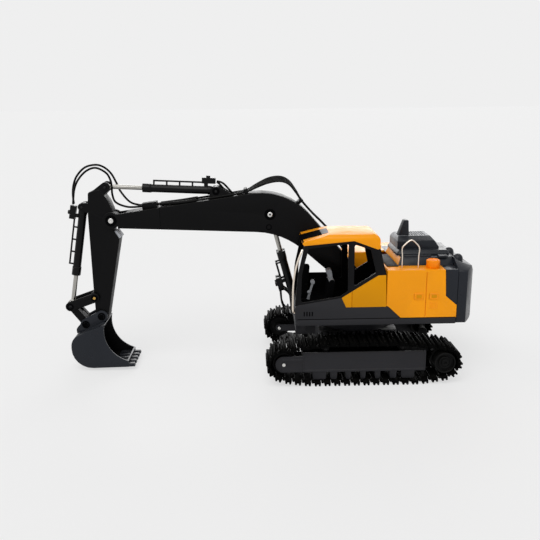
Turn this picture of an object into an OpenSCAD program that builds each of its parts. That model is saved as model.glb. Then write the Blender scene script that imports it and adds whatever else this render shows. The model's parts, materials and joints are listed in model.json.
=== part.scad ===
// Remote-controlled tracked excavator model: undercarriage, slewing house, boom, stick and bucket.
// X points forward, Y to the machine's left, Z up. The origin is on the ground, on the slew axis.

/* [Tracks] */
// Distance between neighbouring track pins
link_pitch = 11.9; // [11.5:0.1:12.3]
// Links in each track
link_count = 42; // [41:1:44]
// Teeth on a sprocket
sprocket_teeth = 9; // [8:1:10]
// Width of a track shoe
shoe_w = 40; // [36:1:44]
// Distance between the middles of the two tracks
track_gauge = 136; // [132:2:144]
// Height of the wheel axles above the ground
wheel_z = 27; // [26:0.5:28.5]
// Height of the pins on the upper run
top_pin_z = 51; // [49:0.5:52]
// Distance of the carrier rollers from the middle
carrier_x = 46.7; // [42:0.1:50]
// Length of the sloping end of the lower run
ramp_run = 29.5; // [27:0.5:33]
// Height of the grousers below the pin line
grouser_h = 5; // [4.5:0.25:6]
// Radius of a link knuckle
knuckle_r = 1.7; // [1.5:0.1:1.8]
// Radius of a track pin
track_pin_r = 0.9; // [0.6:0.1:1]
// Radius of a carrier roller
carrier_r = 4.5; // [4:0.25:5]
// Radius of an idler axle
idler_axle_r = 2.5; // [2:0.1:3]
// Bottom edge of the track frames
frame_z = 17; // [16:0.5:18]
// Top edge of the track covers
cover_z = 42; // [40:0.5:43]

/* [Slewing] */
// Height of the underside of the house deck
deck_z = 75; // [73:0.5:80]
// Thickness of the house deck
deck_t = 4; // [3:0.5:5]
// Radius of the post that the house turns on
post_r = 12; // [10:0.5:14]
// Tooth module of the slewing gears
gear_module = 1.25; // [1.1:0.05:1.3]
// Teeth on the fixed slewing gear
ring_teeth = 48; // [40:4:52]
// Teeth on the slewing pinion
pinion_teeth = 12; // [10:1:14]

/* [House] */
// Half the width of the house
house_hw = 80; // [78:1:84]
// Front end of the cab
cab_front_x = 84; // [80:1:90]
// Rear wall of the cab
cab_rear_x = -25; // [-30:1:-22]
// Front face of the counterweight
rear_x = -110; // [-118:1:-106]
// Furthest reach of the counterweight behind the slew axis
tail_r = 150; // [146:1:160]
// Top of the sill band
sill_z = 83; // [82:0.5:86]
// Top of the side bodies
body_z = 142; // [138:1:146]
// Wall of the moulded shells
shell_t = 2.5; // [2:0.25:3]
// Height of the raised cover on the house
cover_h = 9; // [6:1:12]
// Height of the engine hood above that cover
hood_h = 20; // [16:1:26]
// Radius of the fuel cap
cap_r = 8; // [6:0.5:10]
// Height of the ballast block in the counterweight
ballast_h = 22; // [15:1:40]

/* [Cab] */
// Bottom of the mustard side panel
panel_z = 97.4; // [95:0.2:100]
// Height of the cab frame at the B pillar
cab_top_z = 178; // [174:1:182]
// Front edge of the B pillar
b_pillar_x = 21.3; // [17:0.1:24]
// Width of the B pillar
b_pillar_w = 7; // [5:0.5:9]
// Width of the other pillars
pillar_w = 5; // [4:0.25:6]
// Height of the roof above the cab frame
roof_h = 9; // [7:0.5:12]

/* [Boom] */
// Boom foot pivot ahead of the slew axis
foot_x = 6; // [4:0.5:10]
// Boom foot pivot above the deck underside
foot_h = 41; // [38:0.5:44]
// Stick pivot ahead of the boom foot
boom_reach = 302.8; // [296:0.2:310]
// Stick pivot above the boom foot
boom_rise = 78.4; // [74:0.2:82]
// Half the width of the boom
boom_hw = 14; // [13.6:0.1:15]
// Wall of the boom
boom_t = 1.9; // [1.5:0.1:1.9]
// Half the width of the stick
stick_hw = 10; // [9:0.25:10.25]
// Radius of the boom foot pin
foot_pin_r = 3; // [2.5:0.25:3.5]
// Radius of the stick pivot pin
tip_pin_r = 2.5; // [2:0.25:3]

/* [Stick and bucket] */
// Bucket pivot below the stick pivot
stick_drop = 124.5; // [120:0.5:126]
// Bucket pivot ahead of the stick pivot
stick_lean = 20.5; // [18:0.5:23]
// Half the width of the bucket
bucket_hw = 26; // [22:0.5:30]
// Sheet of the bucket
bucket_t = 2; // [1.5:0.25:2.5]
// Depth of the bucket below its pivot
bucket_d = 66; // [62:0.5:67]
// Teeth on the bucket lip
bucket_teeth = 5; // [3:1:6]
// Length of a bucket tooth
tooth_l = 8; // [6:0.5:10]
// Distance between the pins of a rocker
rocker_l = 33.6; // [32:0.2:35]
// Distance between the two pins in a bucket ear
ear_l = 23.4; // [22:0.2:24.6]

/* [Hydraulic rams] */
// Radius of a ram barrel
barrel_r = 5.6; // [5:0.1:5.7]
// Radius of a ram rod
rod_r = 2.8; // [2:0.1:3]
// Radius of the pins in the ram eyes
ram_pin_r = 1.6; // [1.4:0.1:1.8]
// Free play of the boom ram's upper eye
boom_play = 2.2; // [2:0.1:2.6]
// Free play of the stick ram's rear eye
stick_play = 2.6; // [2.4:0.1:3]
// Free play of the bucket link's lower eye
link_play = 1.9; // [1.8:0.1:2.2]
// Free play of the bucket ram's rod eye
bucket_play = 3.6; // [3.5:0.1:3.8]
// Radius of a hose
hose_r = 1.3; // [1:0.1:1.5]
// Radius of a bent handrail wire
wire_r = 0.9; // [0.7:0.1:1.2]

/* [Hidden] */
$fn = 48;

// Clearances
fit = 0.05;
gap = 0.3;
pin_head = 0.8;

// Colours
black = [0.07, 0.07, 0.08];
grey = [0.18, 0.18, 0.19];
slate = [0.2, 0.21, 0.25];
amber = [0.93, 0.57, 0.08];
mustard = [0.79, 0.54, 0.08];
orange = [1, 0.5, 0.04];
steel = [0.75, 0.73, 0.7];

// Plane geometry: points are [x, z], outline corners are [x, z, radius]
function flat(p) = [p.x, p.y];
function unit(v) = v / norm(v);
function left_of(v) = [-v.y, v.x];
function heading(a, b) = atan2(b.y - a.y, b.x - a.x);
function polar(r, a) = r * [cos(a), sin(a)];
function meet(a, u, b, v) = a + u * cross(b - a, v) / cross(u, v);
function before(p, i) = p[(i + len(p) - 1) % len(p)];
function after(p, i) = p[(i + 1) % len(p)];

// Arc that rounds corner b between its neighbours a and c
function corner(a, b, c, r, n = 6) =
    r <= 0 ? [b] :
    let(
        u = unit(a - b),
        v = unit(c - b),
        half = acos(u * v) / 2,
        centre = b + unit(u + v) * r / sin(half),
        first = b + u * r / tan(half) - centre,
        last = b + v * r / tan(half) - centre,
        start = atan2(first.y, first.x),
        turn = atan2(cross(first, last), first * last)
    )
    [for (i = [0:n]) centre + polar(r, start + turn * i / n)];

// Polygon of an outline with its corners rounded
function rounded(p) = [
    for (i = [0:len(p) - 1]) each corner(flat(before(p, i)), flat(p[i]), flat(after(p, i)), p[i].z)
];

// Anticlockwise outline moved inwards by d
function inset(p, d) = [
    for (i = [0:len(p) - 1])
        let(
            a = flat(before(p, i)),
            b = flat(p[i]),
            c = flat(after(p, i)),
            u = unit(b - a),
            v = unit(c - b),
            q = meet(a + d * left_of(u), u, c + d * left_of(v), v)
        )
        [q.x, q.y, p[i].z <= 0 ? 0 : max(0, p[i].z - d * sign(cross(u, v)))]
];

// Chain path of a track, walked anticlockwise from the rear end of the lower run
pin_circle_r = link_pitch / (2 * sin(180 / sprocket_teeth));
tooth_angle = 360 / sprocket_teeth;
function tangent_reach(p, c) = sqrt(pow(norm(p - c), 2) - pow(pin_circle_r, 2));
function tangent_angle(p, c, way) = heading(c, p) + way * acos(pin_circle_r / norm(p - c));
function lower_bend(wx) = [wx - ramp_run, grouser_h];
function upper_bend() = [carrier_x, top_pin_z];
function wrap_low(wx) = tangent_angle(lower_bend(wx), [wx, wheel_z], 1);
function wrap_high(wx) = tangent_angle(upper_bend(), [wx, wheel_z], -1);
function wrap_len(wx) = (wrap_high(wx) - wrap_low(wx)) / tooth_angle * link_pitch;
function run_lengths(wx) =
    let(
        low = tangent_reach(lower_bend(wx), [wx, wheel_z]),
        high = tangent_reach(upper_bend(), [wx, wheel_z]),
        wrap = wrap_len(wx)
    )
    [2 * lower_bend(wx).x, low, wrap, high, 2 * carrier_x, high, wrap, low];
function total(v, n) = n <= 0 ? 0 : v[n - 1] + total(v, n - 1);
function chain_len(wx) = total(run_lengths(wx), 8);
// Wheel distance at which the links close the chain, found by halving
function tension(lo, hi, n) =
    n == 0 ? (lo + hi) / 2 :
    let(mid = (lo + hi) / 2)
    chain_len(mid) > link_count * link_pitch ? tension(lo, mid, n - 1) : tension(mid, hi, n - 1);
wheel_x = tension(carrier_x + 25, carrier_x + 90, 30);
runs = run_lengths(wheel_x);
idler_at = [wheel_x, wheel_z];
sprocket_at = [-wheel_x, wheel_z];
function mirrored(p) = [-p.x, p.y];
function front_wheel(a) = idler_at + polar(pin_circle_r, a);
function between(a, b, t) = a + (b - a) * t;
function front_part(k, t) =
    k == 1 ? between(lower_bend(wheel_x), front_wheel(wrap_low(wheel_x)), t) :
    k == 2 ? front_wheel(wrap_low(wheel_x) + t * (wrap_high(wheel_x) - wrap_low(wheel_x))) :
    between(front_wheel(wrap_high(wheel_x)), upper_bend(), t);
function chain_part(k, t) =
    k == 0 ? between(mirrored(lower_bend(wheel_x)), lower_bend(wheel_x), t) :
    k < 4 ? front_part(k, t) :
    k == 4 ? between(upper_bend(), mirrored(upper_bend()), t) :
    mirrored(front_part(8 - k, 1 - t));
function chain_point(s, k = 0) =
    s <= runs[k] || k == 7 ? chain_part(k, s / runs[k]) : chain_point(s - runs[k], k + 1);
track_pin_at = [for (i = [0:link_count - 1]) chain_point(i * link_pitch)];

// Track sizes
track_y = track_gauge / 2;
knuckle_room = knuckle_r + 0.4;
knuckle_mid = 0.55 * shoe_w / 2;
plate_in = 0.6;
plate_out = 1.7;
rib_l = 2.4;
wheel_r = min(pin_circle_r - knuckle_r, pin_circle_r * cos(tooth_angle / 2) - plate_in) - gap;
wheel_room = 7.5;
frame_x = wheel_x - wheel_r - wheel_room;
cover_y = track_y + shoe_w / 2 - 4;
cover_t = 3;
inner_y = track_y - shoe_w / 2 + 4;
arm_t = 3;
arm_r = 10.2;
stay_r = 5;
hub_y = track_y + shoe_w / 2 - 1;
wheel_y0 = inner_y + arm_t + 3;
wheel_y1 = cover_y - cover_t - 2;
lower_inner_z = grouser_h + knuckle_r;
carrier_z = top_pin_z - knuckle_r - gap - carrier_r;
carrier_axle_r = 1.5;
box_z = carrier_z - carrier_r - gap;
roller_tabs = [54.5, 37, 19.3, 1.3, -16.6, -35.5, -53.5];
tab_l = [17, 9, 7.2, 7.2, 7.2, 9, 17];
drive_r = 8;
drive_y0 = inner_y - 3.5;
drive_y1 = wheel_y0 + 1;
shaft_r = 3;

// Slewing sizes
chassis_hx = 50;
chassis_top = deck_z - 23;
chassis_bottom = wheel_z - 3;
skirt_r = gear_module * (ring_teeth / 2 + pinion_teeth + 1.6);
skirt_t = 3;
skirt_z = top_pin_z + grouser_h + 2 * gap;
gear_z = chassis_top + 6;
gear_w = 7;
ring_r = gear_module * ring_teeth / 2;
pinion_r = gear_module * pinion_teeth / 2;
pinion_x = -(ring_r + pinion_r);
pinion_shaft_r = 1.5;
motor_r = 9;
deck_top = deck_z + deck_t;
collar_h = 3;

// Main pivots, as [x, z]
foot_at = [foot_x, deck_z + foot_h];
tip_at = foot_at + [boom_reach, boom_rise];
ram_base_at = [cab_front_x - 10, deck_z - 12];
ram_eye_at = foot_at + [105.1, 83.6];
stick_base_at = tip_at + [-130.9, 34.3];
stick_eye_at = tip_at + [5.7, 41];
bucket_top_at = tip_at + [35.8, 16.7];
bucket_at = tip_at + [stick_lean, -stick_drop];
rocker_at = bucket_at + [7.5, 24.5];
rocker_end_at = rocker_at + polar(rocker_l, -19.46);
ear_end_at = bucket_at + polar(ear_l, -26.67);

// Boom sizes
foot_boss_r = 11;
tip_boss_r = 10.5;
cheek_t = 4;
slot_hw = boom_hw + gap + cheek_t + 0.7;
knee_top = foot_at + [84.7, 116];
knee_low = foot_at + [89.4, 60.1];
seam_at = tip_at.x - 60.8;
fork_room = 17.5;
boom_top_front = tip_at + [-7.2, 7.8];
boom_low_front = tip_at + [-7.8, -9.8];
boom_top_dir = unit(knee_top - boom_top_front);
boom_top_angle = heading(boom_top_front, knee_top) - 180;
function boom_top(x) = boom_top_front.y + (x - boom_top_front.x) * boom_top_dir.y / boom_top_dir.x;
boom_outline = [
    [foot_at.x + 9, foot_at.y - 10, 9],
    [knee_low.x, knee_low.y, 94],
    [boom_low_front.x, boom_low_front.y, 0],
    [boom_top_front.x, boom_top_front.y, 0],
    [knee_top.x, knee_top.y, 80],
    [foot_at.x - 9, foot_at.y + 8, 12]
];
ram_y = barrel_r + 0.6;
ram_eye_r = 5;
ram_eye_hw = barrel_r - 1;
boom_ram_l = norm(ram_eye_at - ram_base_at);
boom_gland = 91;
stick_ram_l = norm(stick_base_at - stick_eye_at);
stick_gland = 45;
bucket_ram_l = norm(rocker_end_at - bucket_top_at);
bucket_gland = 90;
rod_tail = 28;
bracket_hw = barrel_r + gap;
bracket_t = 3;
lug_t = stick_hw - bracket_hw;
rocker_t = 3;
ear_t = 3.6;
link_hw = stick_hw - 0.1;
link_fork_hw = 4.3;
rod_eye_hw = link_fork_hw - gap;
rod_eye_r = ram_pin_r + bucket_play + 1.2;

// House outlines
cap_top = body_z + cover_h;
tail_drop = 28;
tail_arc_r = (pow(house_hw, 2) + pow(tail_drop, 2)) / (2 * tail_drop);
cab_right_y = slot_hw + 0.6;
panel_step_x = cab_rear_x - 2.6;
body_step_x = cab_rear_x - 18;
window_z = panel_z + 12;
front_edge_z = panel_z + 2.9;
c_pillar_z = body_z - 5.7;
roof_front = [cab_front_x - 11, cab_top_z - 5];
roof_mid = [b_pillar_x - 6.3, cab_top_z];
roof_rear = [cab_rear_x + 12, cab_top_z - 10.5];
roof_end = [cab_rear_x + 9, cab_top_z - 9.3];
belt_front = [cab_front_x, front_edge_z];
belt_mid = [b_pillar_x + 7.3, window_z];
belt_low = [b_pillar_x + 1.9, panel_z];
belt_rear = [cab_rear_x + 10.5, c_pillar_z];
belt_end = [cab_rear_x + 1.3, c_pillar_z + 0.3];
hood_x0 = rear_x + 10;
hood_x1 = cab_rear_x - 17;
hood_y0 = -18;
hood_y1 = 28;
lid_hw = house_hw - 22;

// Routes of the hoses and wires, as [x, y, z]
boom_hose_route = [
    [262, 3, 211.5], [248, 3.4, 213], [222, 9, 215.4], [202, 10.6, 218.2], [170, 10.6, 222.8],
    [152, 10.6, 225.4], [141, 8, 228.5], [130, 5, 233.5], [116, 4, 238.5], [102, 4, 240], [90, 4, 236],
    [80, 4, 225.5], [72, 4, 215], [58, 4, 200], [44, 4, 186], [30, 4, 170], [14, 4, 147]
];
stick_hose_near = [
    [269.4, 3, 210.4], [288, 4.2, 210], [302.5, 5.5, 216], [306.3, 5.8, 225.5], [306.6, 5.8, 236],
    [307.6, 5.5, 244], [312.5, 5, 253], [325, 4, 259], [337.5, 3, 255], [348, 3, 244.5], [354, 2.5, 232],
    [357, 2.2, 214]
];
stick_hose_far = [
    [269.4, -3, 210.4], [286, -3.8, 214.5], [298, -5.5, 227.5], [303, -5.8, 239], [309, -5, 251],
    [317.5, -4, 259], [327, -3.5, 262], [340, -3, 259], [350.5, -3, 249], [355.5, -2.5, 238],
    [357.4, -2.2, 226], [357, -2.2, 214]
];
rail_y = house_hw - 10;
rail_route = [
    for (p = [
        [-44, 0.1], [-44, 14], [-43.5, 24], [-47, 29], [-54, 34], [-60, 30], [-64, 24], [-63.5, 14],
        [-63.5, 0.1]
    ]) [p.x, rail_y, body_z + p.y]
];
grab_route = [
    for (p = [
        [-8.4, -1, 168], [-6.6, 1, 164], [-3.3, 2, 155.7], [-0.4, 2, 145], [1.4, 2, 134.1], [2.4, 2, 122],
        [2.7, 2, 109.7], [2.7, 1.6, 97], [1.5, -1.2, 91.6], [0.1, -1.2, 91.6]
    ]) [cab_front_x + p.x, house_hw + p.y, p.z]
];

// Solids from outlines
module slab(y0, y1, p) {
    translate([0, y1, 0])
        rotate([90, 0, 0])
            linear_extrude(y1 - y0)
                polygon(rounded(p));
}
module plan(z0, z1, p) {
    translate([0, 0, z0])
        linear_extrude(z1 - z0)
            polygon(rounded(p));
}
module section(x0, x1, p) {
    translate([x0, 0, 0])
        rotate([90, 0, 90])
            linear_extrude(x1 - x0)
                polygon(rounded(p));
}
module block(lo, hi) {
    translate(lo)
        cube(hi - lo);
}
module shaft(p, y0, y1, r) {
    translate([p.x, y1, p.y])
        rotate([90, 0, 0])
            cylinder(h = y1 - y0, r = r);
}
// Hole that runs past both faces
module bore(p, y0, y1, r) {
    shaft(p, y0 - 1, y1 + 1, r);
}
// Frame with its Z axis from a towards b
module aim(a, b, y) {
    translate([a.x, y, a.y])
        rotate([0, 90 - heading(a, b), 0])
            children();
}
// Flat bar with round ends about two points
module strap(a, b, y0, y1, ra, rb) {
    side = asin((ra - rb) / norm(b - a));
    up = heading(a, b) + 90 - side;
    down = heading(a, b) - 90 + side;
    shaft(a, y0, y1, ra);
    shaft(b, y0, y1, rb);
    ends = [a + polar(ra, down), b + polar(rb, down), b + polar(rb, up), a + polar(ra, up)];
    slab(y0, y1, [for (p = ends) [p.x, p.y, 0]]);
}
module both_sides() {
    children();
    mirror([0, 1, 0])
        children();
}
module on_side(side) {
    if (side > 0)
        children();
    else
        mirror([0, 1, 0])
            children();
}

// Round tube along a smooth curve through a route
function bend(a, b, c, d, t) =
    0.5 * (2 * b + (c - a) * t + (2 * a - 5 * b + 4 * c - d) * t * t + (3 * b - a - 3 * c + d) * t * t * t);
function route_end(p, i) = p[min(max(i, 0), len(p) - 1)];
function curve(p, n) = [
    for (i = [0:len(p) - 2])
        for (j = [0:n - 1])
            bend(route_end(p, i - 1), p[i], p[i + 1], route_end(p, i + 2), j / n),
    p[len(p) - 1]
];
function across(t) = unit([0, 1, 0] - t * t.y);
module tube(route, r, sides, steps = 1) {
    p = curve(route, steps);
    last = len(p) - 1;
    rings = [
        for (i = [0:last])
            let(
                t = unit(p[min(i + 1, last)] - p[max(i - 1, 0)]),
                u = across(t),
                v = cross(t, u)
            )
            for (k = [0:sides - 1]) p[i] + r * (u * cos(360 * k / sides) + v * sin(360 * k / sides))
    ];
    walls = [
        for (i = [0:last - 1])
            for (k = [0:sides - 1])
                let(a = i * sides + k, b = i * sides + (k + 1) % sides)
                each [[a, b + sides, b], [a, a + sides, b + sides]]
    ];
    ends = [
        for (k = [1:sides - 2]) each [[0, k, k + 1], [last * sides, last * sides + k + 1, last * sides + k]]
    ];
    polyhedron(rings, concat(walls, ends));
}

// Undercarriage
module chassis_frame() {
    color(grey) {
        plan(chassis_bottom, chassis_top, [
            [chassis_hx, -inner_y + 14, 12], [chassis_hx, inner_y - 14, 12],
            [-chassis_hx, inner_y - 14, 12], [-chassis_hx, -inner_y + 14, 12]
        ]);
        for (x = [-chassis_hx + 18, chassis_hx - 18])
            block([x - 13, -inner_y, frame_z + 4], [x + 13, inner_y, box_z - 6]);
        translate([0, 0, chassis_top])
            cylinder(h = deck_top + collar_h - chassis_top, r = post_r);
        translate([0, 0, chassis_top])
            cylinder(h = gear_z - chassis_top, r = ring_r - gear_module * 3);
    }
}

// Gear outline with straight flanks
function gear_points(teeth, turn) =
    let(r = gear_module * teeth / 2, step = 360 / teeth, half = step * 0.2)
    [
        for (i = [0:teeth - 1])
            each [
                polar(r - 1.25 * gear_module, turn + i * step - half * 1.5),
                polar(r + 0.8 * gear_module, turn + i * step - half * 0.55),
                polar(r + 0.8 * gear_module, turn + i * step + half * 0.55),
                polar(r - 1.25 * gear_module, turn + i * step + half * 1.5)
            ]
    ];
module slew_gear() {
    color(steel)
        translate([0, 0, gear_z])
            difference() {
                linear_extrude(gear_w)
                    polygon(gear_points(ring_teeth, 180));
                translate([0, 0, -1])
                    cylinder(h = gear_w + 2, r = post_r + fit);
            }
}

module track_frame() {
    difference() {
        union() {
            block([-frame_x, inner_y, frame_z], [frame_x, cover_y - cover_t, box_z]);
            slab(inner_y, inner_y + arm_t, [
                [frame_x - 1, wheel_z - stay_r, 0], [wheel_x, wheel_z - stay_r, 0],
                [wheel_x, wheel_z + stay_r, 0], [frame_x - 1, wheel_z + stay_r, 0]
            ]);
            shaft(idler_at, inner_y, inner_y + arm_t, stay_r);
            slab(inner_y, inner_y + arm_t, [
                [-wheel_x, wheel_z - arm_r, 0], [1 - frame_x, wheel_z - arm_r, 0],
                [1 - frame_x, wheel_z + arm_r, 0], [-wheel_x, wheel_z + arm_r, 0]
            ]);
            shaft(sprocket_at, inner_y, inner_y + arm_t, arm_r + 1);
            for (x = [-carrier_x, carrier_x]) {
                shaft([x, carrier_z], inner_y, inner_y + arm_t, carrier_r - 1);
                block(
                    [x - carrier_r + 1, inner_y, box_z - 1],
                    [x + carrier_r - 1, inner_y + arm_t, carrier_z]
                );
            }
        }
        bore(idler_at, inner_y, inner_y + arm_t, idler_axle_r + fit);
        bore(sprocket_at, inner_y, inner_y + arm_t, drive_r + fit);
        for (x = [-carrier_x, carrier_x])
            bore([x, carrier_z], inner_y, inner_y + arm_t, carrier_axle_r + fit);
    }
}
module track_frames() {
    color(grey)
        both_sides()
            track_frame();
}

module track_cover() {
    difference() {
        union() {
            slab(cover_y - cover_t, cover_y, [
                [-frame_x, frame_z, 1], [frame_x, frame_z, 1], [frame_x, cover_z, 1], [-frame_x, cover_z, 1]
            ]);
            slab(cover_y - cover_t, cover_y - 0.8, [
                [frame_x - 1, wheel_z - arm_r, 0], [wheel_x, wheel_z - arm_r, 0],
                [wheel_x, wheel_z + arm_r, 0], [frame_x - 1, wheel_z + arm_r, 0]
            ]);
            shaft(idler_at, cover_y - cover_t, cover_y - 0.8, arm_r);
            slab(cover_y - 1.5, cover_y - 0.3, [
                [frame_x - 1, wheel_z + 4, 0], [wheel_x + 2, wheel_z + 4, 2],
                [wheel_x + 2, wheel_z + 6.5, 0], [frame_x - 1, wheel_z + 6.5, 0]
            ]);
            for (i = [0:len(roller_tabs) - 1])
                slab(cover_y - 14, cover_y - 0.8, [
                    [roller_tabs[i] - tab_l[i] / 2, frame_z + 1, 0],
                    [roller_tabs[i] - tab_l[i] / 2 + 0.8, lower_inner_z + gap, 2.2],
                    [roller_tabs[i] + tab_l[i] / 2 - 0.8, lower_inner_z + gap, 2.2],
                    [roller_tabs[i] + tab_l[i] / 2, frame_z + 1, 0]
                ]);
        }
        bore(idler_at, cover_y - cover_t, cover_y, idler_axle_r + fit);
        block([-frame_x - 1, cover_y - 15, frame_z], [frame_x + 1, cover_y - cover_t, cover_z]);
        slab(cover_y - 0.6, cover_y + 1, [
            [-frame_x + 1.6, frame_z + 2.8, 1], [frame_x - 1.6, frame_z + 2.8, 1],
            [frame_x - 1.6, cover_z - 1.2, 1], [-frame_x + 1.6, cover_z - 1.2, 1]
        ]);
    }
}
module track_covers() {
    color(grey)
        both_sides()
            track_cover();
}

module knuckle(x, way, y0, y1) {
    shaft([x, 0], y0, y1, knuckle_r);
    translate([x, y0, -plate_in])
        mirror([way > 0 ? 0 : 1, 0, 0])
            cube([knuckle_room + 0.5, y1 - y0, plate_in + knuckle_r * 0.6]);
}
module track_link() {
    difference() {
        union() {
            slab(-shoe_w / 2, shoe_w / 2, [
                [knuckle_room, -plate_in, 0], [link_pitch - knuckle_room, -plate_in, 0],
                [link_pitch - knuckle_room, plate_out, 0], [link_pitch - knuckle_room - 0.4, grouser_h, 0],
                [link_pitch - knuckle_room - rib_l, grouser_h, 0],
                [link_pitch - knuckle_room - rib_l - 0.5, plate_out + 1, 0],
                [knuckle_room + rib_l + 0.5, plate_out + 1, 0], [knuckle_room + rib_l, grouser_h, 0],
                [knuckle_room + 0.4, grouser_h, 0], [knuckle_room, plate_out, 0]
            ]);
            knuckle(0, 1, -knuckle_mid, knuckle_mid);
            knuckle(link_pitch, -1, knuckle_mid + gap, shoe_w / 2 - 1);
            knuckle(link_pitch, -1, 1 - shoe_w / 2, -knuckle_mid - gap);
        }
        bore([0, 0], -shoe_w / 2, shoe_w / 2, track_pin_r + fit);
        bore([link_pitch, 0], -shoe_w / 2, shoe_w / 2, track_pin_r + fit);
    }
}
module track_links(side) {
    color(black)
        for (i = [0:link_count - 1]) {
            a = track_pin_at[i];
            b = after(track_pin_at, i);
            translate([a.x, side * track_y, a.y])
                rotate([0, -heading(a, b), 0])
                    rotate([180, 0, 0])
                        track_link();
        }
}
module track_pins() {
    color(black)
        both_sides()
            for (p = track_pin_at)
                shaft(p, track_y - shoe_w / 2 + 1, track_y + shoe_w / 2 - 1, track_pin_r);
}
module wheel_axles() {
    color(steel)
        both_sides() {
            shaft(idler_at, inner_y - pin_head, cover_y - 0.5, idler_axle_r);
            for (x = [-carrier_x, carrier_x])
                shaft([x, carrier_z], inner_y - pin_head, wheel_y1 + 1, carrier_axle_r);
        }
}
module final_drives() {
    color(black)
        both_sides()
            difference() {
                union() {
                    shaft(sprocket_at, drive_y0, inner_y, arm_r);
                    shaft(sprocket_at, inner_y, drive_y1, drive_r);
                    shaft(sprocket_at, drive_y0 - 26, drive_y0, drive_r - 1);
                }
                bore(sprocket_at, drive_y1 - 9, drive_y1, shaft_r + fit);
            }
}

module sprocket(side) {
    color(black)
        on_side(side) {
            difference() {
                union() {
                    shaft(sprocket_at, drive_y1 + gap, hub_y, wheel_r - 2.5);
                    difference() {
                        shaft(sprocket_at, track_y - 5, track_y + 5, wheel_r);
                        for (i = [0:sprocket_teeth - 1])
                            bore(
                                sprocket_at + polar(pin_circle_r + 1, (i + 0.5) * tooth_angle),
                                track_y - 5, track_y + 5, knuckle_r + 2.4
                            );
                    }
                    shaft(sprocket_at, drive_y1 - 8, drive_y1 + 1, shaft_r);
                }
                shaft(sprocket_at, hub_y - 4, hub_y + 1, wheel_r - 4.2);
            }
            difference() {
                shaft(sprocket_at, hub_y - 5, hub_y - 1.2, 7.4);
                shaft(sprocket_at, hub_y - 2.4, hub_y, 6);
            }
            difference() {
                shaft(sprocket_at, hub_y - 5, hub_y - 0.6, 4);
                shaft(sprocket_at, hub_y - 4, hub_y, 1.9);
            }
        }
}
module idler(side) {
    color(black)
        on_side(side)
            difference() {
                union() {
                    shaft(idler_at, wheel_y0, wheel_y1, wheel_r - 2);
                    shaft(idler_at, track_y - 6, track_y + 6, wheel_r);
                    shaft(idler_at, inner_y + arm_t + gap, cover_y - cover_t - gap, idler_axle_r + 3);
                }
                bore(idler_at, inner_y, cover_y, idler_axle_r + fit);
                for (y = [wheel_y0 - 1, wheel_y1 - 2])
                    difference() {
                        shaft(idler_at, y, y + 3, wheel_r - 4);
                        bore(idler_at, y, y + 3, idler_axle_r + 3.5);
                    }
            }
}
module carrier_roller(end, side) {
    at = [end * carrier_x, carrier_z];
    y0 = inner_y + arm_t + gap;
    color(black)
        on_side(side)
            difference() {
                union() {
                    shaft(at, y0, wheel_y1, carrier_r - 0.8);
                    shaft(at, y0 + 2, y0 + 7, carrier_r);
                    shaft(at, wheel_y1 - 7, wheel_y1 - 2, carrier_r);
                }
                bore(at, y0, wheel_y1, carrier_axle_r + fit);
            }
}

// House
deck_outline = [
    [rear_x, -house_hw, 2], [cab_front_x - 12, -house_hw, 6], [cab_front_x - 12, -slot_hw - 3, 0],
    [cab_front_x, -slot_hw, 0], [cab_front_x, 1 - boom_hw, 0], [cab_front_x - 26, 1 - boom_hw, 0],
    [cab_front_x - 26, boom_hw - 1, 0], [cab_front_x, boom_hw - 1, 0], [cab_front_x, house_hw, 6],
    [rear_x, house_hw, 2]
];
module house_deck() {
    color(grey)
        difference() {
            union() {
                plan(deck_z, deck_top, deck_outline);
                block(
                    [cab_front_x - 13, house_hw - 34, deck_z - 10.5],
                    [cab_front_x - 1.5, house_hw - 10, deck_z + 1]
                );
                difference() {
                    plan(deck_z, sill_z, deck_outline);
                    plan(deck_top - 1, sill_z + 1, inset(deck_outline, shell_t));
                }
                translate([0, 0, skirt_z])
                    difference() {
                        cylinder(h = deck_z - skirt_z, r = skirt_r + skirt_t);
                        translate([0, 0, -1])
                            cylinder(h = deck_z - skirt_z + 1, r = skirt_r);
                    }
            }
            translate([0, 0, deck_z - 1])
                cylinder(h = deck_t + 2, r = post_r + fit);
            translate([pinion_x, 0, deck_z - 1])
                cylinder(h = deck_t + 2, r = pinion_shaft_r + fit);
        }
}
module boom_mount() {
    y0 = boom_hw + gap;
    color(black) {
        difference() {
            union() {
                both_sides()
                    slab(y0, y0 + cheek_t, [
                        [foot_at.x - 28, deck_top, 0], [foot_at.x + 28, deck_top, 0],
                        [foot_at.x + foot_boss_r, foot_at.y, 0],
                        [foot_at.x + foot_boss_r, foot_at.y + foot_boss_r, 10],
                        [foot_at.x - foot_boss_r, foot_at.y + foot_boss_r, 10],
                        [foot_at.x - foot_boss_r, foot_at.y, 0]
                    ]);
                block([foot_at.x - 28, -y0 - 1, deck_top], [-post_r - 2, y0 + 1, deck_top + 8]);
            }
            bore(foot_at, -y0 - cheek_t, y0 + cheek_t, foot_pin_r + fit);
        }
        both_sides()
            difference() {
                slab(boom_hw - 1, boom_hw + 3, [
                    [ram_base_at.x - 13, deck_z, 0], [ram_base_at.x - 5, ram_base_at.y - ram_eye_r, 3],
                    [ram_base_at.x + 5, ram_base_at.y - ram_eye_r, 3], [ram_base_at.x + 8, deck_z, 0]
                ]);
                bore(ram_base_at, boom_hw - 2, boom_hw + 3, ram_pin_r + fit);
            }
    }
}
module house_pins() {
    reach = boom_hw + gap + cheek_t;
    color(steel) {
        shaft(foot_at, -reach - pin_head, reach + pin_head, foot_pin_r);
        shaft(ram_base_at, -boom_hw - 3 - pin_head, boom_hw + 3 + pin_head, ram_pin_r);
    }
}

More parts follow.
